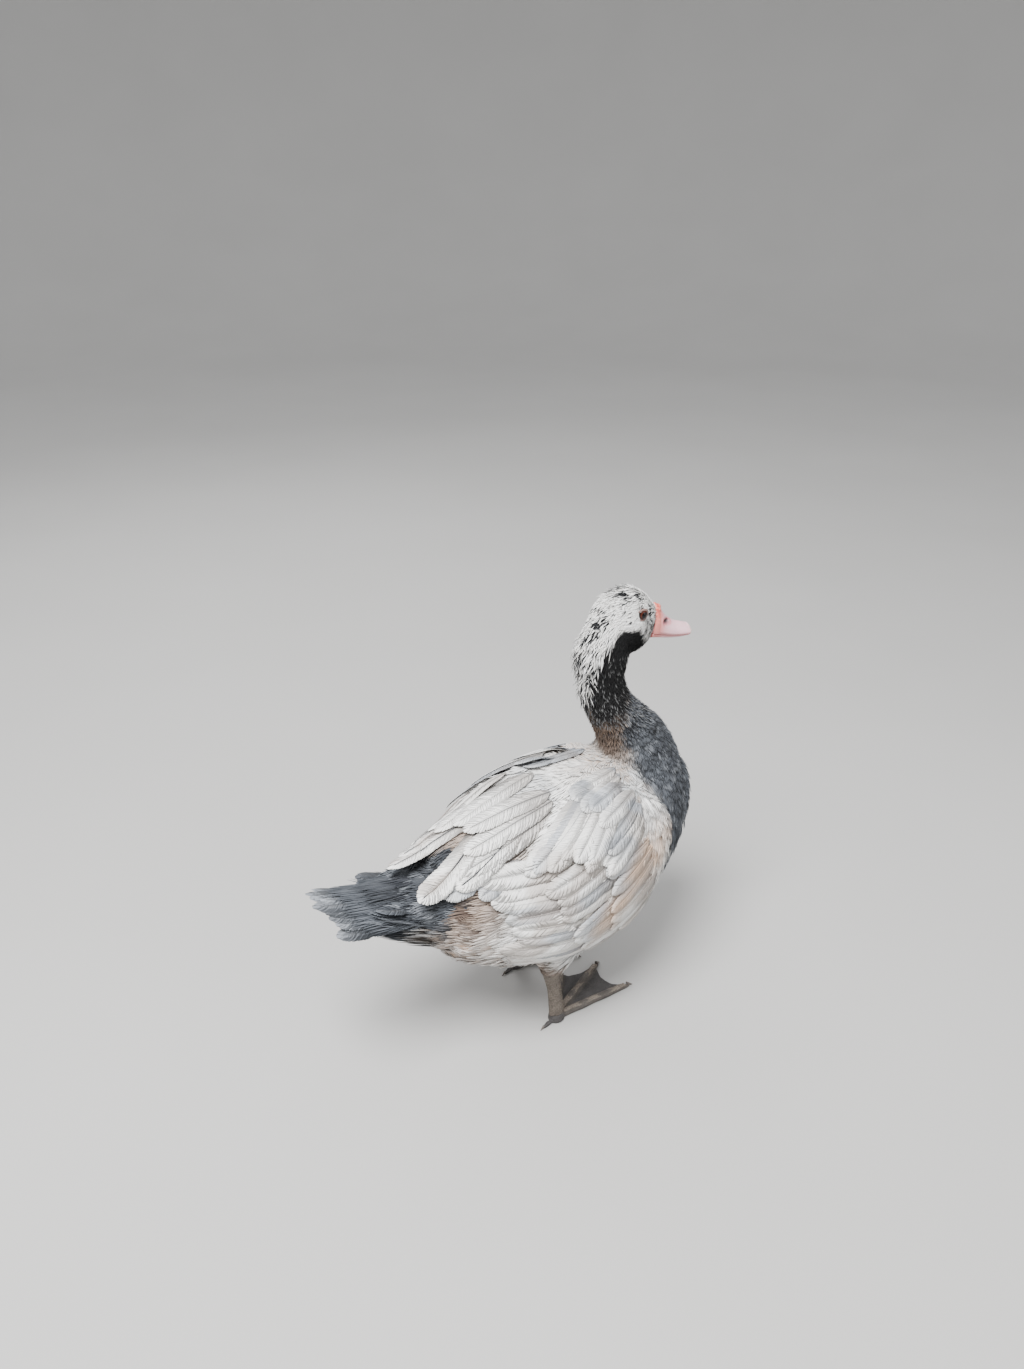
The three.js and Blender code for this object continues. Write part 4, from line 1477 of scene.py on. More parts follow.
@dataclass
class Skin(Assembly):
    """One continuous skin under the coat, and the scattering of feather roots on it."""

    voxel: float = 2.7
    tries: int = 230000
    quick_tries: int = 80000
    start: float = 26.0

    def build(self) -> None:
        """Make the skin and keep what the scattering needs."""
        parts = [form.rings() for form in (TRUNK, NECK, HEAD, TAIL, *PADS.values())]
        parts += [leg.thigh_rings() for leg in LEGS.values()]
        thing = from_loft("skin", parts)
        fuse(thing, self.voxel, 9)
        mesh = thing.data
        self.points = points_of(mesh)
        self.normals = np.array([normal.vector for normal in mesh.vertex_normals])
        self.faces = [tuple(p.vertices) for p in mesh.polygons]
        self.tree = BVHTree.FromPolygons(self.points.tolist(), self.faces)
        paint(mesh, "plumage", MARKINGS.ground(self.points)[0] * 0.8)
        add_uv(mesh, "OFBake", LIE.unwrap(self.points))
        dress(thing, self.finishes.down, "plumage_white", "torso", "neck", "head", "thigh_left", "thigh_right")

    def candidates(self, rng: Chance, count: int) -> tuple[Array, Array]:
        """Random places on the skin, denser where feathers are small.

        Args:
            rng: Source of chance.
            count: How many.

        Returns:
            Places and outward directions.
        """
        quads = np.array([f[:4] for f in self.faces if len(f) == 4])
        a, b, c, d = (self.points[quads[:, k]] for k in range(4))
        area = 0.5 * np.linalg.norm(np.cross(c - a, d - b), axis=1)
        weight = area / CoatMap().spacing((a + c) / 2) ** 2
        pick = rng.choice(len(quads), count, p=weight / weight.sum())
        u, v = rng.random((2, count, 1))
        a, b, c, d = a[pick], b[pick], c[pick], d[pick]
        place = (a * (1 - u) + b * u) * (1 - v) + (d * (1 - u) + c * u) * v
        return place, self.normals[quads[pick, 0]]

    def scatter(self, rng: Chance) -> tuple[Array, Array]:
        """Evenly spread feather roots.

        Args:
            rng: Source of chance.

        Returns:
            Places and outward directions.
        """
        points, normals = self.candidates(rng, self.tries)
        spacing = CoatMap().spacing(points)
        tree = KDTree(len(points))
        for i, p in enumerate(points):
            tree.insert(p, i)
        tree.balance()
        open_place = np.ones(len(points), dtype=bool)
        chosen = []
        for i in range(len(points)):
            if open_place[i]:
                chosen.append(i)
                for _, j, _ in tree.find_range(points[i], spacing[i]):
                    open_place[j] = False
        return points[chosen], normals[chosen]

    def height(self, base: Array, normal: Array) -> Array:
        """How high the skin stands over places, eased so that a feather bridges a fall.

        Args:
            base: Places on the plain trunk.
            normal: Outward directions there.

        Returns:
            Heights.
        """
        high = np.full(base.shape[:2], -5.0)
        for i, k in np.ndindex(*high.shape):
            spot = self.tree.ray_cast(Vector(base[i, k] + normal[i, k] * self.start), Vector(-normal[i, k]), 40)[0]
            if spot is not None:
                high[i, k] = (np.array(spot) - base[i, k]) @ normal[i, k]
            if k:
                high[i, k] = max(0.5 * (high[i, k] + high[i, k - 1]), high[i, k - 1] - 0.9)
        return high

    def lay(self, roots: Array, ways: Array, lengths: Array, lifts: Array,
            steps: Sequence[float]) -> tuple[Array, Array]:
        """Spines that follow the skin and rise to their tips.

        Args:
            roots: Where the feathers are rooted.
            ways: Which way they point.
            lengths: How long they are.
            lifts: How far their tips stand off the skin.
            steps: Shares of the length at which points are laid.

        Returns:
            Spine points and outward directions, by feather and step.
        """
        count = len(roots)
        spine, normal = np.empty((2, count, len(steps), 3))
        place = roots.copy()
        way = ways.copy()
        before = 0.0
        for k, t in enumerate(steps):
            target = place + way * (lengths * (t - before))[:, None]
            for i in range(count):
                spot, face_normal, _, _ = self.tree.find_nearest(Vector(target[i]))
                place[i] = spot
                normal[i, k] = face_normal
            way = laid_along(way, normal[:, k])
            rise = lifts * (-0.12 + 1.12 * t**1.15)
            spine[:, k] = place + normal[:, k] * rise[:, None]
            before = t
        return spine, normal


@dataclass(frozen=True)
class CoatMap:
    """How big the small feathers are where."""

    stations: Floats = (0, 36, 73, 99, 128, 158, 175, 193, 239, 298, 370, 440, 496, 548)
    lengths: Floats = (3.6, 4.6, 6, 6.5, 6.8, 8, 12, 14, 20, 24, 26, 28, 28, 26)
    halves: Floats = (0.5, 0.52, 0.6, 0.68, 0.75, 0.95, 3.4, 4.2, 5.8, 7, 7.5, 8, 8, 7.5)
    gaps: Floats = (1.0, 1.08, 1.3, 1.42, 1.5, 1.8, 3.0, 3.6, 4.8, 5.7, 6.1, 6.4, 6.4, 6.2)
    lifts: Floats = (0.9, 1.2, 1.8, 2.0, 2.1, 2.4, 2.8, 3.0, 3.6, 4.0, 4.4, 4.6, 4.6, 4.4)
    fine_end: float = 166.0

    def size(self, points: Array) -> tuple[Array, Array, Array]:
        """Length, half width and lift of feathers rooted at the points.

        Args:
            points: The roots.

        Returns:
            All three, by feather.
        """
        station = LIE.station(points)
        thigh = self.thigh(points)
        belly = (1 - smooth(95, 150, points[:, 2])) * 0.25
        scale = 1 - 0.5 * thigh - belly
        return (curve(self.stations, self.lengths)(station) * scale,
                curve(self.stations, self.halves)(station) * scale,
                curve(self.stations, self.lifts)(station) * (1 - 0.35 * thigh))

    def spacing(self, points: Array) -> Array:
        """Gap between feather roots at the points."""
        scale = 1 - 0.42 * self.thigh(points) - 0.18 * (1 - smooth(95, 150, points[:, 2]))
        return curve(self.stations, self.gaps)(LIE.station(points)) * scale

    def thigh(self, points: Array) -> Array:
        """Share of the thigh at the points."""
        return 1 - smooth(68, 92, points[:, 2])


@dataclass
class Coat(Assembly):
    """The small feathers of head, neck, body and tail root."""

    skin: Skin
    seed: int = SEED
    nape_reach: float = 9.0

    def build(self) -> None:
        """Lay the whole coat, in pieces from the head to the tail."""
        rng = np.random.default_rng(self.seed)
        roots, normals = self.skin.scatter(rng)
        keep = self.bare(roots)
        roots, normals = roots[keep], normals[keep]
        x, y, z = roots.T
        station = LIE.station(roots)
        white, fine = MARKINGS.white(roots) > 0.4, station < CoatMap.fine_end
        shag = fine & ((white & (station > 70)) | self.crown(roots))
        low = ~fine & (z < 165)
        high = ~fine & ~low
        bands = [
            ("coat_face", fine & ~shag & (station <= 66), 1),
            ("coat_neck", fine & ~shag & (station > 66), 1),
            ("coat_crest", shag, 1),
            ("coat_breast_upper", high & (x > 96) & (z > 240), 7),
            ("coat_breast", high & (x > 96) & (z <= 240), 7),
            ("coat_back_left", high & (x <= 96) & (x > -60) & (y > 0), 7),
            ("coat_back_right", high & (x <= 96) & (x > -60) & (y <= 0), 7),
            ("coat_rump", high & (x <= -60), 10),
            ("coat_belly_front", low & (x > 10), 5),
            ("coat_belly_rear", low & (x <= 10), 5),
        ]
        for name, mask, count in bands:
            thing = sheet_object(name, self.sheet(roots[mask], normals[mask], name == "coat_crest", count, rng))
            dress(thing, self.finishes.coat, "plumage_white")

    def bare(self, roots: Array) -> Array:
        """Where feathers grow: not on the bill's root, round the eye or at the hock.

        Args:
            roots: Places.

        Returns:
            Whether one grows there.
        """
        own = HEAD.local(roots)
        eye = np.min([np.linalg.norm(roots - HEAD.eye_centre(s), axis=1) for s in (1, -1)], axis=0)
        bill = (own[:, 0] > 33.5) & (roots[:, 2] > 380)
        return ~bill & (eye > HEAD.eye_radius + 1.6) & (roots[:, 2] > 69)

    def crown(self, roots: Array) -> Array:
        """Where the crown's longer feathers stand."""
        own = HEAD.local(roots)
        return (own[:, 0] < 12) & (own[:, 2] > 18) & (roots[:, 2] > 380)

    def sheet(self, roots: Array, normals: Array, shaggy: bool, bundles_each: int, rng: Chance) -> Sheet:
        """Cut the feathers rooted at the places given.

        Args:
            roots: Where they are rooted.
            normals: Outward directions there.
            shaggy: Whether they are the loose strands of crown and nape.
            bundles_each: Bundles of barbs a feather.
            rng: Source of chance.

        Returns:
            The gathered triangles.
        """
        count = len(roots)
        length, half, lift = CoatMap().size(roots)
        if shaggy:
            low = smooth(428, 395, roots[:, 2])
            length = length * (1.4 + 0.5 * low) + self.nape_reach * low * rng.random(count)
            lift = lift + (2.6 + 1.8 * low) * rng.random(count) ** 1.5
        ways = LIE.direction(roots, normals)
        side = np.cross(normals, ways)
        yaw = np.radians((15 if shaggy else 8) * rng.normal(size=count))[:, None]
        ways = ways * np.cos(yaw) + side * np.sin(yaw)
        length = length * rng.normal(1, 0.12, count).clip(0.7, 1.35)
        half = half * rng.normal(1, 0.1, count).clip(0.7, 1.3)
        lift = lift * rng.normal(1, 0.18, count).clip(0.6, 1.5)
        spine, normal = self.skin.lay(roots, ways, length, lift, TUFT_STEPS)
        lines = Spines(spine, normal, TUFT_STEPS, half, 0.16)
        return fans(lines, bundles_each, MARKINGS.feathers(roots, rng), LIE.unwrap(roots), rng)


# Wings and tail


@dataclass(frozen=True)
class Row:
    """A row of long feathers on the trunk, from its first feather to its last."""

    count: int
    root: tuple[tuple[float, float], tuple[float, float]]
    tip: tuple[tuple[float, float], tuple[float, float]]
    half: tuple[float, float]
    lift: tuple[float, float]
    stack: float = 0.3
    roll: float = 3.0
    grey: float = 0.3
    loose: float = 0.8
    ink: float = 0.3


RIGHT_ROWS = (
    Row(5, ((54, 113), (28, 98)), ((-74, 129), (-98, 108)), (12, 12), (2.0, 4.6), grey=0.1, loose=0.4),
    Row(9, ((14, 110), (-18, 62)), ((-72, 116), (-111, 50)), (11.5, 12), (2.6, 5.6), grey=0.42),
    Row(9, ((60, 113), (24, 62)), ((-8, 123), (-50, 72)), (10, 10.5), (3.0, 6.0)),
    Row(2, ((-66, 44), (-72, 30)), ((-116, 60), (-140, 52)), (10, 10.5), (3.4, 7.4), loose=0.5, ink=0.5),
    Row(2, ((-44, 16), (-80, 3)), ((-129, 47), (-165, 45)), (12.5, 12.5), (4.6, 10.0), 0.9, grey=0.0, loose=0.3,
        ink=1.0),
    Row(8, ((86, 108), (60, 54)), ((30, 116), (-4, 64)), (9, 9.5), (3.4, 6.2)),
    Row(3, ((-18, 24), (-4, 10)), ((-118, 34), (-93, 6)), (12, 13.5), (4.2, 9.0), 0.8, grey=0.0, ink=0.7),
    Row(8, ((24, 24), (48, 34)), ((-72, 56), (-6, 66)), (11, 10), (4.4, 8.6), grey=0.05, loose=1.3, ink=0.5),
    Row(8, ((70, 16), (66, 54)), ((4, 20), (14, 70)), (9.5, 9), (3.6, 7.0), loose=1.2),
)
LEFT_ROWS = (
    Row(4, ((-20, 92), (-30, 68)), ((-150, 66), (-140, 48)), (12, 12), (2.0, 4.6), grey=0.15, loose=0.4),
    Row(9, ((0, 106), (-30, 58)), ((-84, 100), (-130, 46)), (11.5, 12), (2.6, 5.6)),
    Row(9, ((50, 108), (18, 56)), ((-22, 110), (-62, 60)), (10, 10.5), (3.0, 6.0), grey=0.2),
    Row(4, ((-50, 40), (-75, 5)), ((-130, 48), (-169, 15)), (10, 10.5), (3.6, 8.4), 0.9, grey=0.0, ink=0.9),
    Row(8, ((82, 104), (60, 50)), ((28, 110), (-2, 58)), (9, 9.5), (3.4, 6.2), grey=0.2),
    Row(3, ((-14, 24), (-2, 10)), ((-118, 30), (-96, 7)), (12, 13.5), (4.2, 9.0), 0.8, grey=0.0),
    Row(8, ((24, 22), (46, 32)), ((-72, 50), (-6, 62)), (11, 10), (4.4, 8.2), grey=0.1, loose=1.0, ink=0.15),
    Row(8, ((70, 14), (64, 50)), ((2, 18), (12, 64)), (9.5, 9), (3.6, 7.0), loose=0.9, ink=0.0),
)


def islands(groups: Sequence[object]) -> list[Array]:
    """Baking islands of long feathers.

    Args:
        groups: Rows or fans of feathers, with their counts.

    Returns:
        Corner and size of each feather's island, by group.
    """
    counts = [group.count for group in groups]
    cells = math.ceil(math.sqrt(sum(counts)))
    index = np.arange(sum(counts))
    corner = np.stack([index % cells, index // cells], 1) / cells
    every = np.hstack([corner + 0.04 / cells, np.full((len(index), 2), 0.92 / cells)])
    return np.split(every, np.cumsum(counts)[:-1])


@dataclass
class Wing(Assembly):
    """One folded wing's long feathers, row over row."""

    name: str
    side: int
    rows: tuple[Row, ...]
    seed: int
    skin: Skin

    def build(self) -> None:
        """Lay the rows and dress them as one piece."""
        rng = np.random.default_rng(self.seed)
        sheet = gather([self.row_sheet(row, rng, bake) for row, bake in zip(self.rows, islands(self.rows))])
        sheet.colour = MARKINGS.tint(sheet.points, sheet.colour)
        thing = sheet_object(f"wing_{self.name}_quills", sheet)
        dress(thing, self.finishes.quills, "plumage_white", f"wing_{self.name}")

    def row_sheet(self, row: Row, rng: Chance, bake: Array) -> Sheet:
        """One row's feathers.

        Args:
            row: The row.
            rng: Source of chance.
            bake: Their baking islands.

        Returns:
            Their triangles.
        """
        f = np.linspace(0, 1, row.count)[:, None]
        t = QUILLS.steps()[None]
        (x0, a0), (x1, a1) = row.root
        (x2, a2), (x3, a3) = row.tip
        jitter = rng.normal(size=(4, row.count, 1)) * row.loose
        root_x, root_a = x0 + (x1 - x0) * f + 2 * jitter[0], a0 + (a1 - a0) * f + jitter[1]
        tip_x, tip_a = x2 + (x3 - x2) * f + 4.5 * jitter[2], a2 + (a3 - a2) * f + 2.4 * jitter[3]
        x = root_x + (tip_x - root_x) * t
        angle = self.side * (root_a + (tip_a - root_a) * t**0.9)
        lift = row.lift[0] + (row.lift[1] - row.lift[0]) * t + row.stack * f + 0.5 * rng.random((row.count, 1)) * t
        normal, base = TRUNK.normal(x, angle), TRUNK.point(x, angle)
        spine = base + normal * (lift + self.skin.height(base, normal))[..., None]
        half = (row.half[0] + (row.half[1] - row.half[0]) * f[:, 0]) * rng.normal(1, 0.06, row.count)
        along = unit(np.gradient(spine, axis=1))
        roll = -self.side * np.radians(row.roll + 1.5 * rng.normal(size=(row.count, 1, 1)))
        normal = normal * np.cos(roll) - np.cross(normal, along) * np.sin(roll)
        middle = self.tones(spine[:, 10], row.grey, rng)
        # Darker root: partly the feathers' own greyer base, partly painted shade under the tips of the row above.
        root = middle * 0.5 + Tone.BUFF * 0.12
        tip = middle * 0.6 + Tone.WHITE * 0.4
        lines = Spines(spine, normal, QUILLS.steps(), half)
        return QUILLS.cut(lines, (root, middle, tip), row.ink, bake, rng)

    def tones(self, places: Array, grey: float, rng: Chance) -> Array:
        """Colours of feathers whose middles lie at the places: white, some greyer.

        Args:
            places: Their middles.
            grey: Share of grey ones.
            rng: Source of chance.

        Returns:
            One colour each.
        """
        count = len(places)
        x = places[:, 0]
        cloud = ripple(places, 30, 77)[:, None]
        c = np.tile(Tone.WHITE, (count, 1)) * rng.normal(0.97, 0.03, (count, 1)).clip(0.85, 1.02)
        c = c + (Tone.BLUE_GREY - c) * 0.35 * smooth(0.0, 0.9, cloud) * smooth(-60, 20, x)[:, None]
        greys = rng.random(count) < grey
        c[greys] = (0.7 * Tone.BLUE_GREY + 0.3 * Tone.PALE) * rng.normal(1.05, 0.1, (greys.sum(), 1))
        return c


class Make(Enum):
    """How a long feather is made."""

    QUILL = "a blade under barbs"
    PLUME = "loose barbs alone"


@dataclass(frozen=True)
class Fan:
    """A fan of tail feathers, the middle ones highest."""

    count: int
    spread: float
    root: float
    reach: float
    half: float
    height: tuple[float, float]
    sag: float
    stagger: float
    tone: Array
    rim: Array
    make: Make = Make.PLUME


@dataclass
class Tail(Assembly):
    """Quills and long coverts of the tail."""

    seed: int = SEED + 7
    fans: tuple[Fan, ...] = (
        Fan(16, 11, 26, 102, 9.5, (0, 0), 11, 2.4, Tone.SLATE * 0.85, Tone.BLUE_GREY * 0.62, Make.QUILL),
        Fan(24, 10, 22, 86, 12, (6, 3), 12, 2.4, Tone.SLATE * 0.6, Tone.SLATE * 1.2),
        Fan(24, 11, 2, 84, 12, (15, 8), 15, 2.4, Tone.DEEP * 0.8, Tone.SLATE * 0.75),
        Fan(20, 12, -22, 78, 13, (25, 13), 17, 2.4, Tone.DEEP * 0.8, Tone.DEEP * 1.5),
        Fan(14, 9, 8, 82, 10, (-13, -5), -11, -2.0, Tone.SLATE * 0.6, Tone.SLATE, Make.QUILL),
        Fan(20, 11, -6, 86, 12, (-33, -15), -20, -2.0, Tone.DEEP * 0.9, Tone.SLATE),
        Fan(20, 10, 0, 96, 12, (-47, -25), -26, -2.0, Tone.SLATE * 0.7, Tone.BLUE_GREY * 0.42),
        Fan(22, 12, -30, 92, 13, (-58, -37), -26, -2.0, Tone.BUFF * 0.34, Tone.PALE * 0.5),
    )

    def build(self) -> None:
        """Lay the fans and dress them as one piece."""
        rng = np.random.default_rng(self.seed)
        sheet = gather([self.fan_sheet(fan, rng, bake) for fan, bake in zip(self.fans, islands(self.fans))])
        sheet.colour *= (1 + 0.3 * ripple(sheet.points, 24, 8))[:, None]
        thing = sheet_object("tail_quills", sheet)
        dress(thing, self.finishes.quills, "plumage_slate", "tail")

    def fan_sheet(self, fan: Fan, rng: Chance, bake: Array) -> Sheet:
        """One fan's feathers.

        Args:
            fan: The fan.
            rng: Source of chance.
            bake: Their baking islands.

        Returns:
            Their triangles.
        """
        f = np.linspace(-1, 1, fan.count)[:, None]
        t = QUILLS.steps()[None]
        wide = np.where(f > 0, 0.76, 1.0) * f
        turn = np.radians(fan.spread * wide + 1.2 * rng.normal(size=(fan.count, 1)))
        length = fan.reach * (1 - 0.14 * f**2) * rng.normal(1, 0.04, (fan.count, 1))
        s = fan.root + length * t * np.cos(turn)
        y = (24 + 2 * t) * wide * 0.85 + length * t * np.sin(turn)
        u = fan.height[0] + (fan.height[1] - fan.height[0]) * t + fan.stagger * (1 - np.abs(f)) - fan.sag * f**2
        spine = TAIL.place(s, y, u)
        _, across, up = TAIL.axes()
        tilt = unit(up + (0.35 if fan.stagger > 0 else -0.25) * f * across)
        normal = np.broadcast_to(tilt[:, None], spine.shape).copy()
        half = np.full(fan.count, fan.half) * rng.normal(1, 0.05, fan.count)
        shade = rng.normal(1, 0.12, (fan.count, 1)).clip(0.7, 1.3)
        lines = Spines(spine, normal, QUILLS.steps(), half, 0.12)
        if fan.make is Make.PLUME:
            return fans(lines, 15, (fan.tone * shade, fan.rim * shade), bake, rng)
        colours = (fan.tone * shade * 0.8, fan.tone * shade, fan.rim * shade)
        return QUILLS.cut(lines, colours, 0.2, bake, rng)


# The head's bare parts


@dataclass
class Eyes(Assembly):
    """Eyeballs with their irises, and the lids round them."""

    iris: float = 4.7
    pupil: float = 3.1
    opening: float = 5.9
    lid_places: int = 96

    def gaze(self, side: int) -> Array:
        """Outward direction of one eye."""
        forward, left, up = HEAD.axes()
        return unit(side * left + 0.22 * forward + 0.06 * up)

    def build(self) -> None:
        """Make both eyes and both lids."""
        for name, side in SIDES.items():
            self.ball(name, side)
            self.lids(name, side)

    def ball(self, name: str, side: int) -> None:
        """One eyeball, its clear front bulging a little.

        Args:
            name: Name of the side.
            side: 1 left, -1 right.
        """
        gaze = self.gaze(side)
        up = HEAD.axes()[2]
        across = unit(np.cross(up, gaze))
        up = np.cross(gaze, across)
        rows, count, radius = np.radians(np.linspace(0, 180, 49)), 48, HEAD.eye_radius
        turns = around(count)
        rings, hues = [], []
        rng = np.random.default_rng(5)
        spokes = 1 + 0.14 * rng.normal(size=count)
        for row in rows[1:-1]:
            off = radius * math.sin(row)
            bulge = 0.28 * smooth(self.iris, 0, off) if row < math.pi / 2 else 0.0
            ring = (radius + bulge) * (math.cos(row) * gaze + math.sin(row) * (
                np.outer(np.cos(turns), across) + np.outer(np.sin(turns), up)))
            rings.append(HEAD.eye_centre(side) + ring)
            if row > math.pi / 2 or off > self.iris:
                hue = np.tile(srgb(22, 15, 14), (count, 1))
            elif off < self.pupil:
                hue = np.tile(srgb(8, 7, 8), (count, 1))
            else:
                share = (off - self.pupil) / (self.iris - self.pupil)
                tone = srgb(74, 34, 22) * (1 - share) + srgb(52, 24, 18) * share
                hue = tone[None] * spokes[:, None] * (1 - 0.6 * smooth(0.75, 1, share))
            hues.append(hue)
        thing = from_loft(f"eye_{name}_ball", [rings])
        dress(thing, self.finishes.eye, "eye", f"eye_{name}", hue=np.vstack(hues))

    def lids(self, name: str, side: int) -> None:
        """Upper and lower lid as one wrinkled ring, drawn to a point at both corners.

        Args:
            name: Name of the side.
            side: 1 left, -1 right.
        """
        gaze = self.gaze(side)
        forward, _, up = HEAD.axes()
        across = unit(forward - gaze * (forward @ gaze))
        up = unit(up - gaze * (up @ gaze) - across * (up @ across))
        centre = HEAD.eye_centre(side)
        rings, hues = [], []
        for k in range(self.lid_places):
            a = 2 * math.pi * k / self.lid_places
            corner = abs(math.cos(a)) ** 6
            long = self.opening * (1.0 + 0.16 * corner)
            high = self.opening * (0.94 - 0.06 * (math.sin(a) > 0))
            flat = across * math.cos(a) * long + up * math.sin(a) * high
            depth = math.sqrt(max((HEAD.eye_radius + 0.25) ** 2 - flat @ flat, 4.0))
            core = centre + flat + gaze * depth
            out = unit(flat)
            tube = 0.72 + 0.1 * math.cos(a * 26) + 0.16 * (math.sin(a) > 0.2) - 0.2 * corner
            ring = [core + tube * (math.cos(b) * out * 1.35 + math.sin(b) * gaze * 0.8)
                    for b in np.linspace(0, 2 * math.pi, 17)[:-1]]
            rings.append(np.array(ring))
            # The lid's colour darkens in each wrinkle's groove: painted shade in the creases.
            hues.append(np.tile(srgb(140, 112, 104) * (0.85 + 0.1 * math.cos(a * 26)), (16, 1)))
        thing = from_loft(f"eyelids_{name}", [rings], True)
        dress(thing, self.finishes.lid, "bare_skin", hue=np.vstack(hues))


@dataclass
class Bill(Assembly):
    """Upper and lower bill, with nostrils, nail and the grooved edge."""

    start: float = 33.0
    length: float = 47.0
    mouth: float = -14.5
    stations: Floats = (0, 0.16, 0.34, 0.55, 0.74, 0.88, 0.97, 1)
    wide: Floats = (11.5, 11.2, 10.6, 10.6, 11.3, 10.9, 7.8, 3.0)
    up: Floats = (29, 25, 17.6, 12.8, 10.3, 8.2, 5.2, 2.2)
    down: Floats = (6, 5.6, 5, 4.4, 3.8, 2.9, 1.8, 0.8)
    nostril: tuple[float, float] = (0.31, 12.0)

    def ring(self, t: float, lower: bool, grow: float = 0.0, count: int = 30) -> Array:
        """One section of a half of the bill.

        Args:
            t: Share of the length.
            lower: Which half.
            grow: How far it is grown.
            count: Points round it.

        Returns:
            The section.
        """
        wide = curve(self.stations, self.wide)(t)
        reach = curve(self.stations, self.down if lower else self.up)(t) + grow
        edge = self.mouth + (-0.25 if lower else 0.25) - 1.6 * math.sin(math.pi * t) ** 2
        a = np.linspace(0, math.pi, count)
        y = (wide * (0.9 if lower else 1.0) + grow * np.sqrt(np.sin(a).clip(0))) * np.cos(a)
        u = reach * np.sin(a) ** 0.9
        if not lower:
            u = u * (1 - 0.10 * np.sin(a * 2) ** 2) + 0.5 * np.exp(-((a - 0.12) / 0.1) ** 2) \
                + 0.5 * np.exp(-((math.pi - a - 0.12) / 0.1) ** 2)
            u = u + 0.7 * smooth(0.86, 0.9, t) * np.exp(-((a - math.pi / 2) / 0.55) ** 4)
        return HEAD.place(self.start + self.length * t, y, edge + (-u if lower else u))

    def hole(self, own: Array, t: Array) -> Array:
        """Square of the distance from the nostril's middle, 1 at its rim."""
        along, high = (t - self.nostril[0]) * self.length / 4.2, (own[:, 2] - self.mouth - self.nostril[1]) / 2.3
        return along**2 + high**2

    def half(self, lower: bool) -> None:
        """Build the upper or the lower half.

        Args:
            lower: Which half.
        """
        name = "bill_lower" if lower else "bill_upper"
        shares = np.linspace(0, 1, 72) ** 0.94
        thing = from_loft(f"{name}_horn", [[self.ring(t * (0.965 if lower else 1), lower) for t in shares]])
        mesh = thing.data
        points = points_of(mesh)
        own = HEAD.local(points)
        t = (own[:, 0] - self.start) / self.length
        if not lower:
            hole = self.hole(own, t)
            sink = np.exp(-hole**2 * 0.9)
            lip = 0.45 * np.exp(-((hole - 1.9) / 0.7) ** 2)
            own[:, 1] -= np.sign(own[:, 1]) * (3.4 * sink - lip) * smooth(2, 4.5, np.abs(own[:, 1]))
            points = HEAD.place(own[:, 0], own[:, 1], own[:, 2])
            mesh.vertices.foreach_set("co", to_row(points).astype(np.float32).ravel())
            mesh.update()
        dress(thing, self.finishes.bill, "bill_horn", name, hue=self.hues(own, t, lower))

    def hues(self, own: Array, t: Array, lower: bool) -> Array:
        """Pale lilac pink, coral at the root, rosy along the edge and pale at the nail.

        Args:
            own: Places in the head's measures.
            t: Their shares of the length.
            lower: Which half.

        Returns:
            Colours.
        """
        mix = MARKINGS.mix
        c = np.tile(srgb(208, 172, 178), (len(t), 1))
        c = mix(c, srgb(218, 146, 142), 0.75 * (1 - smooth(0.05, 0.5, t + 0.02 * (own[:, 2] - self.mouth))))
        c = mix(c, srgb(206, 104, 90), 0.75 * (1 - smooth(0.1, 0.3, t + 0.03 * ripple(own, 4, 3))))
        edge = 1 - smooth(0.4, 2.6, np.abs(own[:, 2] - self.mouth + 1.6 * np.sin(math.pi * np.clip(t, 0, 1)) ** 2))
        c = mix(c, srgb(224, 150, 150), 0.7 * edge)
        c = mix(c, srgb(236, 220, 214), 0.8 * smooth(0.86, 0.95, t))
        if not lower:
            hole = self.hole(own, t)
            c = mix(c, srgb(176, 84, 92), 0.7 * np.exp(-((hole - 1.5) / 1.2) ** 2))
            # The nostril's sunken middle is painted near black: painted shade in the open hole.
            c = mix(c, srgb(40, 18, 22), np.exp(-hole**2 * 1.1))
        return c

    def build(self) -> None:
        """Make both halves."""
        for lower in (False, True):
            self.half(lower)


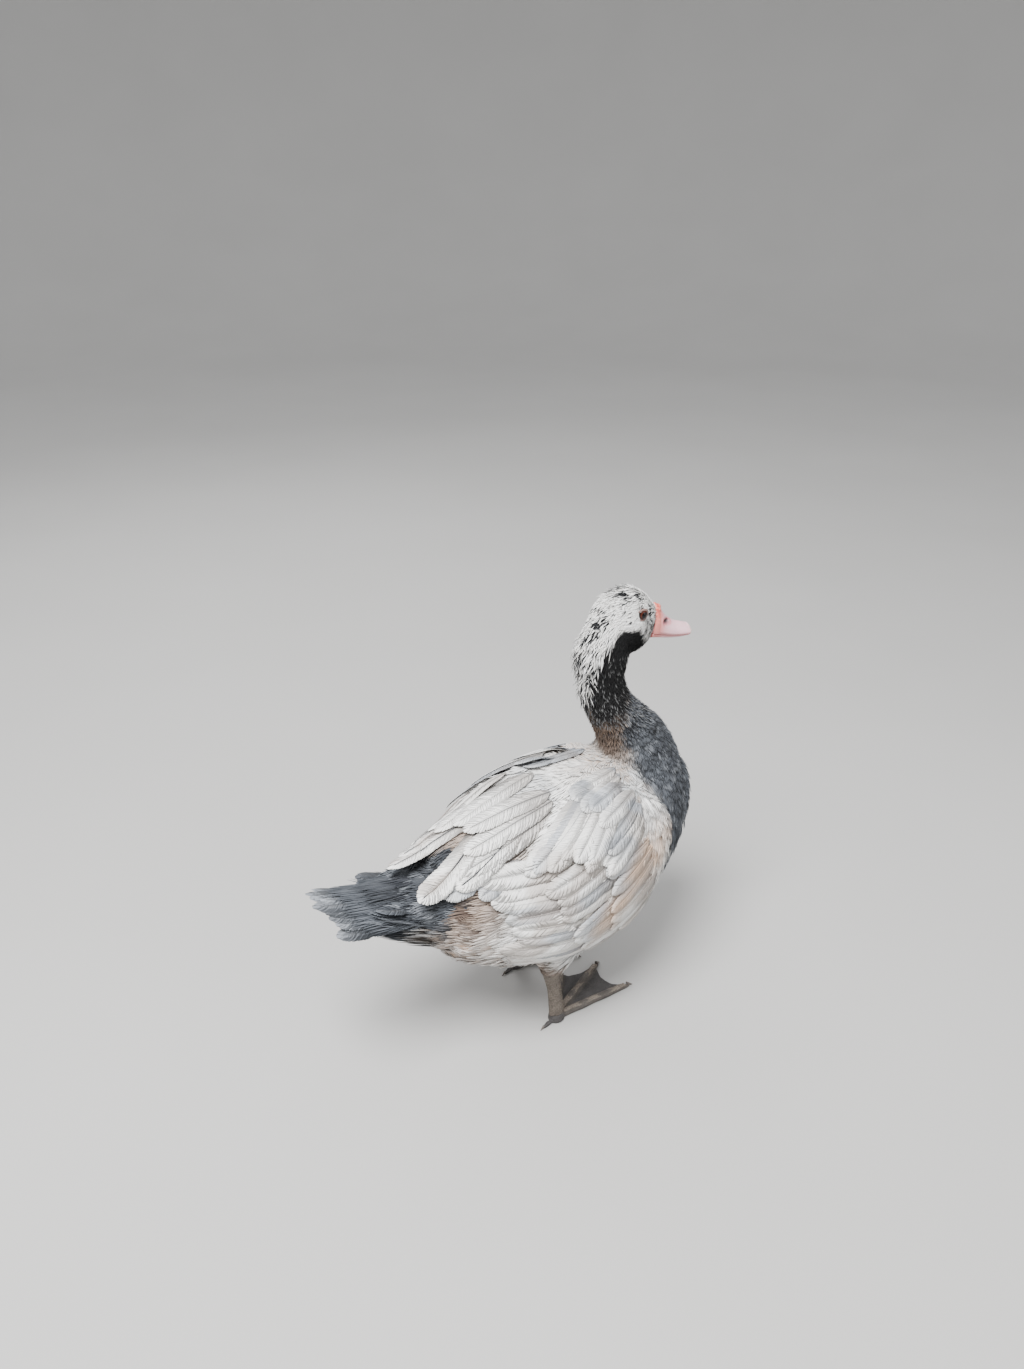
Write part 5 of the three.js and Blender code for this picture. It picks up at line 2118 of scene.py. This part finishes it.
@dataclass
class Caruncle(Assembly):
    """Warty bare skin over the bill's root, with a knob on top."""

    bill: Bill
    bulbs: int = 42
    voxel: float = 0.55

    def build(self) -> None:
        """Fuse the collar and its bulbs."""
        rng = np.random.default_rng(SEED + 3)
        collar = ((0.0, 0.5), (0.04, 1.5), (0.08, 1.7), (0.12, 1.0), (0.15, 0.2))
        parts = [[self.bill.ring(t, False, grow, 24) for t, grow in collar]]
        for k in range(self.bulbs):
            f = rng.uniform(-0.8, 0.8)
            t = rng.uniform(0.04, 0.15) - 0.07 * abs(f)
            size = rng.uniform(1.0, 2.2) * (1.25 - 0.7 * abs(f))
            parts.append(self.bulb(self.bill.start + self.bill.length * t, f * math.radians(84), size, 0.98))
        for shift, angle, size in ((5.8, 0.0, 3.4), (4.4, 0.3, 2.7), (4.7, -0.32, 2.8), (2.2, 0.1, 2.6)):
            parts.append(self.bulb(self.bill.start + shift, angle, size, 1.0))
        thing = from_loft("caruncle_warts", parts)
        fuse(thing, self.voxel, 4)
        points = points_of(thing.data)
        speck = ripple(points, 1.6, 9)
        mix = MARKINGS.mix
        c = np.tile(srgb(208, 98, 80), (len(points), 1))
        # Pale and dark specks: partly the warts' own mottling, partly painted highlights and painted shade on the
        # lumps.
        c = mix(c, srgb(226, 142, 122), smooth(0.0, 0.8, speck))
        c = mix(c, srgb(166, 62, 58), 0.7 * smooth(0.0, 0.8, -speck))
        own = HEAD.local(points)
        low = 1 - smooth(-8, 10, own[:, 2] + 3 * speck)
        c = mix(c, srgb(210, 136, 130), 0.85 * low)
        rear = smooth(0.09, 0.15, (own[:, 0] - self.bill.start) / self.bill.length)
        c = mix(c, srgb(208, 134, 128), 0.7 * rear)
        dress(thing, self.finishes.wart, "bare_skin", "caruncle", hue=c)

    def bulb(self, s: float, angle: float, size: float, out: float) -> list[Array]:
        """One round wart on the collar.

        Args:
            s: Its place forward.
            angle: Its place round the bill.
            size: Its radius.
            out: How far out it sits.

        Returns:
            Rings of points.
        """
        y, u = 11.8 * out * math.sin(angle), self.bill.mouth + 25.2 * out * math.cos(angle)
        turns = np.arange(12) * math.pi / 6
        return [
            HEAD.place(s + size * 0.9 * math.cos(row), y + size * math.sin(row) * np.cos(turns),
                       u + size * math.sin(row) * np.sin(turns))
            for row in np.radians([8, 30, 60, 90, 120, 150, 172])
        ]


# Legs


class ScutePath:
    """Horn plates strung along a path by Geometry Nodes."""

    def __init__(self, material: Material) -> None:
        """Build the node tree once.

        Args:
            material: The plates' finish.
        """
        self.tree = tree = bpy.data.node_groups.new("scutes_on_path", "GeometryNodeTree")
        for name, kind in (("Path", "Geometry"), ("Count", "Int"), ("Width", "Float"), ("Length", "Float"),
                           ("Height", "Float"), ("Seed", "Int")):
            tree.interface.new_socket(name, in_out="INPUT", socket_type=f"NodeSocket{kind}")
        tree.interface.new_socket("Scutes", in_out="OUTPUT", socket_type="NodeSocketGeometry")
        given = add_node(tree, "NodeGroupInput", {}, {}).outputs
        line = add_node(tree, "GeometryNodeMeshToCurve", {}, {0: given["Path"]})
        even = add_node(tree, "GeometryNodeResampleCurve", {}, {"Curve": line.outputs[0], "Count": given["Count"]})
        plate = add_node(tree, "GeometryNodeMeshUVSphere", {}, {"Segments": 10, "Rings": 6, "Radius": 1.0})
        tangent = add_node(tree, "GeometryNodeInputTangent", {}, {})
        align = add_node(tree, "FunctionNodeAlignEulerToVector", {"axis": "X", "pivot_axis": "Z"},
                         {"Vector": tangent.outputs[0]})
        size = add_node(tree, "ShaderNodeCombineXYZ", {}, {0: given["Length"], 1: given["Width"], 2: given["Height"]})
        change = add_node(tree, "FunctionNodeRandomValue", {}, {"Seed": given["Seed"]})
        least, most = [s for s in change.inputs if s.type == "VALUE"][:2]
        least.default_value, most.default_value = 0.88, 1.1
        factor = next(s for s in change.outputs if s.type == "VALUE")
        grown = add_node(tree, "ShaderNodeVectorMath", {"operation": "SCALE"}, {0: size.outputs[0], "Scale": factor})
        spread = add_node(tree, "GeometryNodeInstanceOnPoints", {}, {
            "Points": even.outputs[0], "Instance": plate.outputs["Mesh"], "Rotation": align.outputs[0],
            "Scale": grown.outputs[0]})
        real = add_node(tree, "GeometryNodeRealizeInstances", {}, {0: spread.outputs[0]})
        dressed = add_node(tree, "GeometryNodeSetMaterial", {}, {"Geometry": real.outputs[0], "Material": material})
        add_node(tree, "NodeGroupOutput", {}, {0: dressed.outputs[0]})

    def string(self, name: str, path: Array, count: int, sizes: Point, seed: int) -> Thing:
        """String plates along a path.

        Args:
            name: The piece's name.
            path: Places in the stance frame.
            count: How many plates.
            sizes: Half length, half width and half height of a plate, in millimetres.
            seed: Picks their small differences.

        Returns:
            The plates as a plain mesh.
        """
        mesh = bpy.data.meshes.new(name)
        mesh.from_pydata(to_row(path).tolist(), [(i, i + 1) for i in range(len(path) - 1)], [])
        thing = new_object(name, mesh)
        modifier = thing.modifiers.new("scutes", "NODES")
        modifier.node_group = self.tree
        given = {"Count": count, "Length": sizes[0] * MM, "Width": sizes[1] * MM, "Height": sizes[2] * MM, "Seed": seed}
        for item in self.tree.interface.items_tree:
            if item.name in given:
                modifier[item.identifier] = given[item.name]
        apply_modifiers(thing)
        return thing


@dataclass
class LegPiece(Assembly):
    """One shank and foot, with web, plates and claws."""

    name: str
    leg: Leg
    paths: ScutePath
    voxel: float = 0.95

    def shank(self) -> None:
        """The scaly shank, from the hock to the ankle."""
        half = curve((0, 0.45, 1), (7.6, 5.2, 6.4))
        turns = around(40)
        rings = []
        for t in np.linspace(0, 1, 61):
            centre = self.along(t)
            size = half(t) + 0.28 * math.sin(t * 2 * math.pi * 14) ** 2
            flat = 1 - 0.10 * np.cos(turns * 3)
            oval = np.stack([1.25 * np.cos(turns) * flat, 0.86 * np.sin(turns), 0 * turns], -1)
            rings.append(centre + size * oval)
        thing = from_loft(f"shank_{self.name}_skin", [rings])
        dress(thing, self.finishes.leg, "leg_skin", f"shank_{self.name}", hue=(1.15, 1.08, 1.0))

    def along(self, t: float) -> Array:
        """Middle of the shank at a share of its length."""
        (hx, hz), (fx, fz) = self.leg.hock, self.leg.heel
        return np.array([hx + (fx - hx) * t + self.leg.shift, self.leg.side * self.leg.y,
                         hz - 0.3 + (fz - hz + 0.3) * t])

    def toe(self, heading: Array, length: float, half: float) -> list[Array]:
        """A toe's sections from the ankle to the root of the claw.

        Args:
            heading: Its direction.
            length: Its length.
            half: Its half width.

        Returns:
            Rings of points.
        """
        width = curve((0, 0.22, 0.34, 0.48, 0.6, 0.76, 0.88, 0.95), (0.98, 0.86, 0.98, 0.78, 0.92, 0.72, 0.6, 0.4))
        across = np.array([-heading[1], heading[0], 0.0])
        turns = around(16)
        rings = []
        for t in np.linspace(0, 0.95, 34):
            r = half * width(t)
            centre = self.leg.ankle() + heading * length * t + np.array([0, 0, r * 0.72])
            up = np.maximum(r * np.sin(turns), -centre[2] + 0.05)
            rings.append(centre + np.outer(r * np.cos(turns), across) + np.outer(up, [0, 0, 1]))
        return rings

    def web(self) -> list[list[Array]]:
        """Thin skin between neighbouring toes, scalloped at its front edge.

        Returns:
            Rings of each web.
        """
        sheets = []
        ankle = self.leg.ankle()
        for i in (0, 1):
            first, second = self.leg.heading(self.leg.turns[i]), self.leg.heading(self.leg.turns[i + 1])
            long, short = self.leg.lengths[i] * 0.9, self.leg.lengths[i + 1] * 0.9
            rings = []
            for f in np.linspace(0, 1, 25):
                way = unit(first * (1 - f) + second * f)
                reach = (long + (short - long) * f) * (1 - 0.13 * math.sin(math.pi * f))
                ripple_height = 0.35 * math.sin(f * math.pi * 5)
                radii = np.linspace(2, reach, 22)
                height = 2.2 + ripple_height * smooth(0.2, 0.8, radii / reach) - 0.9 * smooth(0.5, 1, radii / reach)
                top = ankle + np.outer(radii, way) + np.outer(height + 0.75, [0, 0, 1])
                low = ankle + np.outer(radii[::-1], way) + np.outer(np.maximum(height[::-1] - 0.75, 0.3), [0, 0, 1])
                rings.append(np.vstack([top, low]))
            sheets.append(rings)
        return sheets

    def foot(self) -> None:
        """Toes, web and heel pad grown into one skin."""
        leg = self.leg
        parts = [self.toe(leg.heading(t), n, h) for t, n, h in zip(leg.turns, leg.lengths, leg.halves)]
        turn, length, half = leg.hallux
        parts.append(self.toe(leg.heading(turn), length, half))
        parts += self.web()
        turns = around(20)
        parts.append([
            leg.ankle() + np.stack([r * np.cos(turns) * 1.1, r * np.sin(turns), 0 * turns + z], -1)
            for r, z in ((7.0, 0.0), (8.4, 1.2), (8.2, 4.0), (7.8, 7.0), (6.6, 9.2))
        ])
        thing = from_loft(f"foot_{self.name}_skin", parts)
        fuse(thing, self.voxel, 3)
        points = points_of(thing.data)
        ridge = np.zeros(len(points))
        for t, n in zip(leg.turns, leg.lengths):
            way = leg.heading(t)
            own = points - leg.ankle()
            along = np.clip(own @ way, 0, n)
            away = np.linalg.norm((own - np.outer(along, way))[:, :2], axis=1)
            ridge = np.maximum(ridge, 1 - smooth(3.4, 6.5, away))
        hue = np.outer(1 - ridge, [0.8, 0.8, 0.82]) + np.outer(ridge, [1.25, 1.2, 1.12])
        dress(thing, self.finishes.web, "leg_skin", f"foot_{self.name}", hue=hue)

    def claws(self) -> None:
        """Curved blunt claws at the toe tips."""
        leg = self.leg
        parts = []
        toes = list(zip(leg.turns, leg.lengths, leg.halves)) + [leg.hallux]
        for turn, length, half in toes:
            way = leg.heading(turn)
            across = np.array([-way[1], way[0], 0.0])
            turns = around(14)
            rings = []
            for t in np.linspace(0, 1, 12):
                r = half * 0.5 * (1 - t) ** 0.7 + 0.12
                centre = leg.ankle() + way * (length * 0.92 + half * 1.75 * t)
                centre[2] = r + 0.1 + half * 0.5 * math.sin(math.pi * (0.42 + 0.5 * t)) - 0.42 * half * t
                centre[2] = max(centre[2], r)
                ring = np.outer(r * 0.8 * np.cos(turns), across) + np.outer(r * np.sin(turns), [0, 0, 1])
                rings.append(centre + ring)
            parts.append(rings)
        thing = from_loft(f"claws_{self.name}", parts)
        dress(thing, self.finishes.claw, "leg_skin", hue=srgb(92, 84, 78))

    def scutes(self) -> None:
        """Rows of plates down the shank and along the toes."""
        front = np.array([self.along(t) + np.array([1.25 * 5.6, 0, 0]) for t in np.linspace(0.08, 0.96, 12)])
        strings = [(front, 17, (2.3, 3.4, 1.0))]
        for turn, length, half in zip(self.leg.turns, self.leg.lengths, self.leg.halves):
            way = self.leg.heading(turn)
            path = np.array([
                self.leg.ankle() + way * length * t + np.array([0, 0, half * (1.62 - 0.62 * t) - 0.1])
                for t in np.linspace(0.1, 0.88, 12)])
            strings.append((path, int(length / 3.1), (1.75, half * 0.72, 0.7)))
        pieces = [self.paths.string(f"scutes_{self.name}_{k}", *string, SEED + k) for k, string in enumerate(strings)]
        chosen = {"active_object": pieces[0], "selected_editable_objects": pieces, "selected_objects": pieces}
        with bpy.context.temp_override(**chosen):
            bpy.ops.object.join()
        thing = pieces[0]
        thing.name = f"scutes_{self.name}"
        dress(thing, self.finishes.leg, "leg_skin", hue=(1.5, 1.42, 1.32))

    def build(self) -> None:
        """Make the whole leg."""
        self.shank()
        self.foot()
        self.claws()
        self.scutes()


# Studio


@dataclass
class Studio(Assembly):
    """Floor, lights and the camera of the photograph."""

    camera: Point = (-529.0, -702.0, 805.0)
    pitch: float = 26.0
    heading: float = 35.0
    lens: float = 27.03

    def build(self) -> None:
        """Set up the studio."""
        self.floor()
        self.lights()
        data = bpy.data.cameras.new("camera")
        data.sensor_fit = "VERTICAL"
        data.sensor_height = 36.0
        data.lens = self.lens
        data.clip_start, data.clip_end = 0.02, 60.0
        camera = new_object("camera", data)
        camera.location = to_row(np.array(self.camera))
        camera.rotation_euler = (math.radians(90 - self.pitch), 0.0, -math.radians(self.heading))
        bpy.context.scene.camera = camera

    def floor(self) -> None:
        """A level floor that sweeps up far behind the bird."""
        angles = np.linspace(0, math.pi / 2, 10)
        reach, bend, wall, count = 4.5, 2.5, 3.0, 96
        profile = [(0.0, 0.0)] + [(reach + bend * math.sin(a), bend * (1 - math.cos(a))) for a in angles]
        profile.append((reach + bend, bend + wall))
        turns = np.linspace(0, 2 * math.pi, count + 1)[:-1]
        points = [(0.0, 0.0, 0.0)] + [(r * math.cos(t), r * math.sin(t), z) for r, z in profile[1:] for t in turns]
        faces: list[tuple[int, ...]] = [(0, 1 + k, 1 + (k + 1) % count) for k in range(count)]
        for r in range(len(profile) - 2):
            for k in range(count):
                a, b = 1 + r * count + k, 1 + r * count + (k + 1) % count
                faces.append((a, a + count, b + count, b))
        mesh = bpy.data.meshes.new("studio_floor")
        mesh.from_pydata(points, [], faces)
        mesh.update()
        shade_smooth(mesh)
        thing = new_object("studio_floor", mesh)
        thing.data.materials.append(self.finishes.floor)

    def lights(self) -> None:
        """A broad key from the upper left, a fill and an even sky."""
        world = bpy.data.worlds.new("studio")
        bpy.context.scene.world = world
        world.use_nodes = True
        sky = world.node_tree.nodes["Background"]
        sky.inputs[0].default_value = (0.97, 0.98, 1.0, 1.0)
        sky.inputs[1].default_value = 1.3
        for name, place, size, power in (
            ("key", (-0.9, -0.5, 2.1), 1.1, 136.0),
            ("fill", (1.2, -1.9, 1.3), 1.8, 16.0),
            ("rim", (0.4, 1.8, 1.6), 1.4, 18.0),
        ):
            data = bpy.data.lights.new(name, "AREA")
            data.shape = "DISK"
            data.size = size
            data.energy = power
            light = new_object(name, data)
            light.location = place
            aim = Vector((0.0, 0.0, 0.2)) - Vector(place)
            light.rotation_euler = aim.to_track_quat("-Z", "Y").to_euler()


def main() -> None:
    """Build the duck and its studio."""
    logging.basicConfig(level=logging.INFO, format="%(name)s %(message)s")
    finishes = Finishes()
    Studio(finishes).build()
    skin = Skin(finishes)
    skin.build()
    Coat(finishes, skin).build()
    Wing(finishes, "left", 1, LEFT_ROWS, SEED + 11, skin).build()
    Wing(finishes, "right", -1, RIGHT_ROWS, SEED + 12, skin).build()
    Tail(finishes).build()
    Eyes(finishes).build()
    bill = Bill(finishes)
    bill.build()
    Caruncle(finishes, bill).build()
    paths = ScutePath(finishes.leg)
    for name, leg in LEGS.items():
        LegPiece(finishes, name, leg, paths).build()


if __name__ == "__main__":
    main()
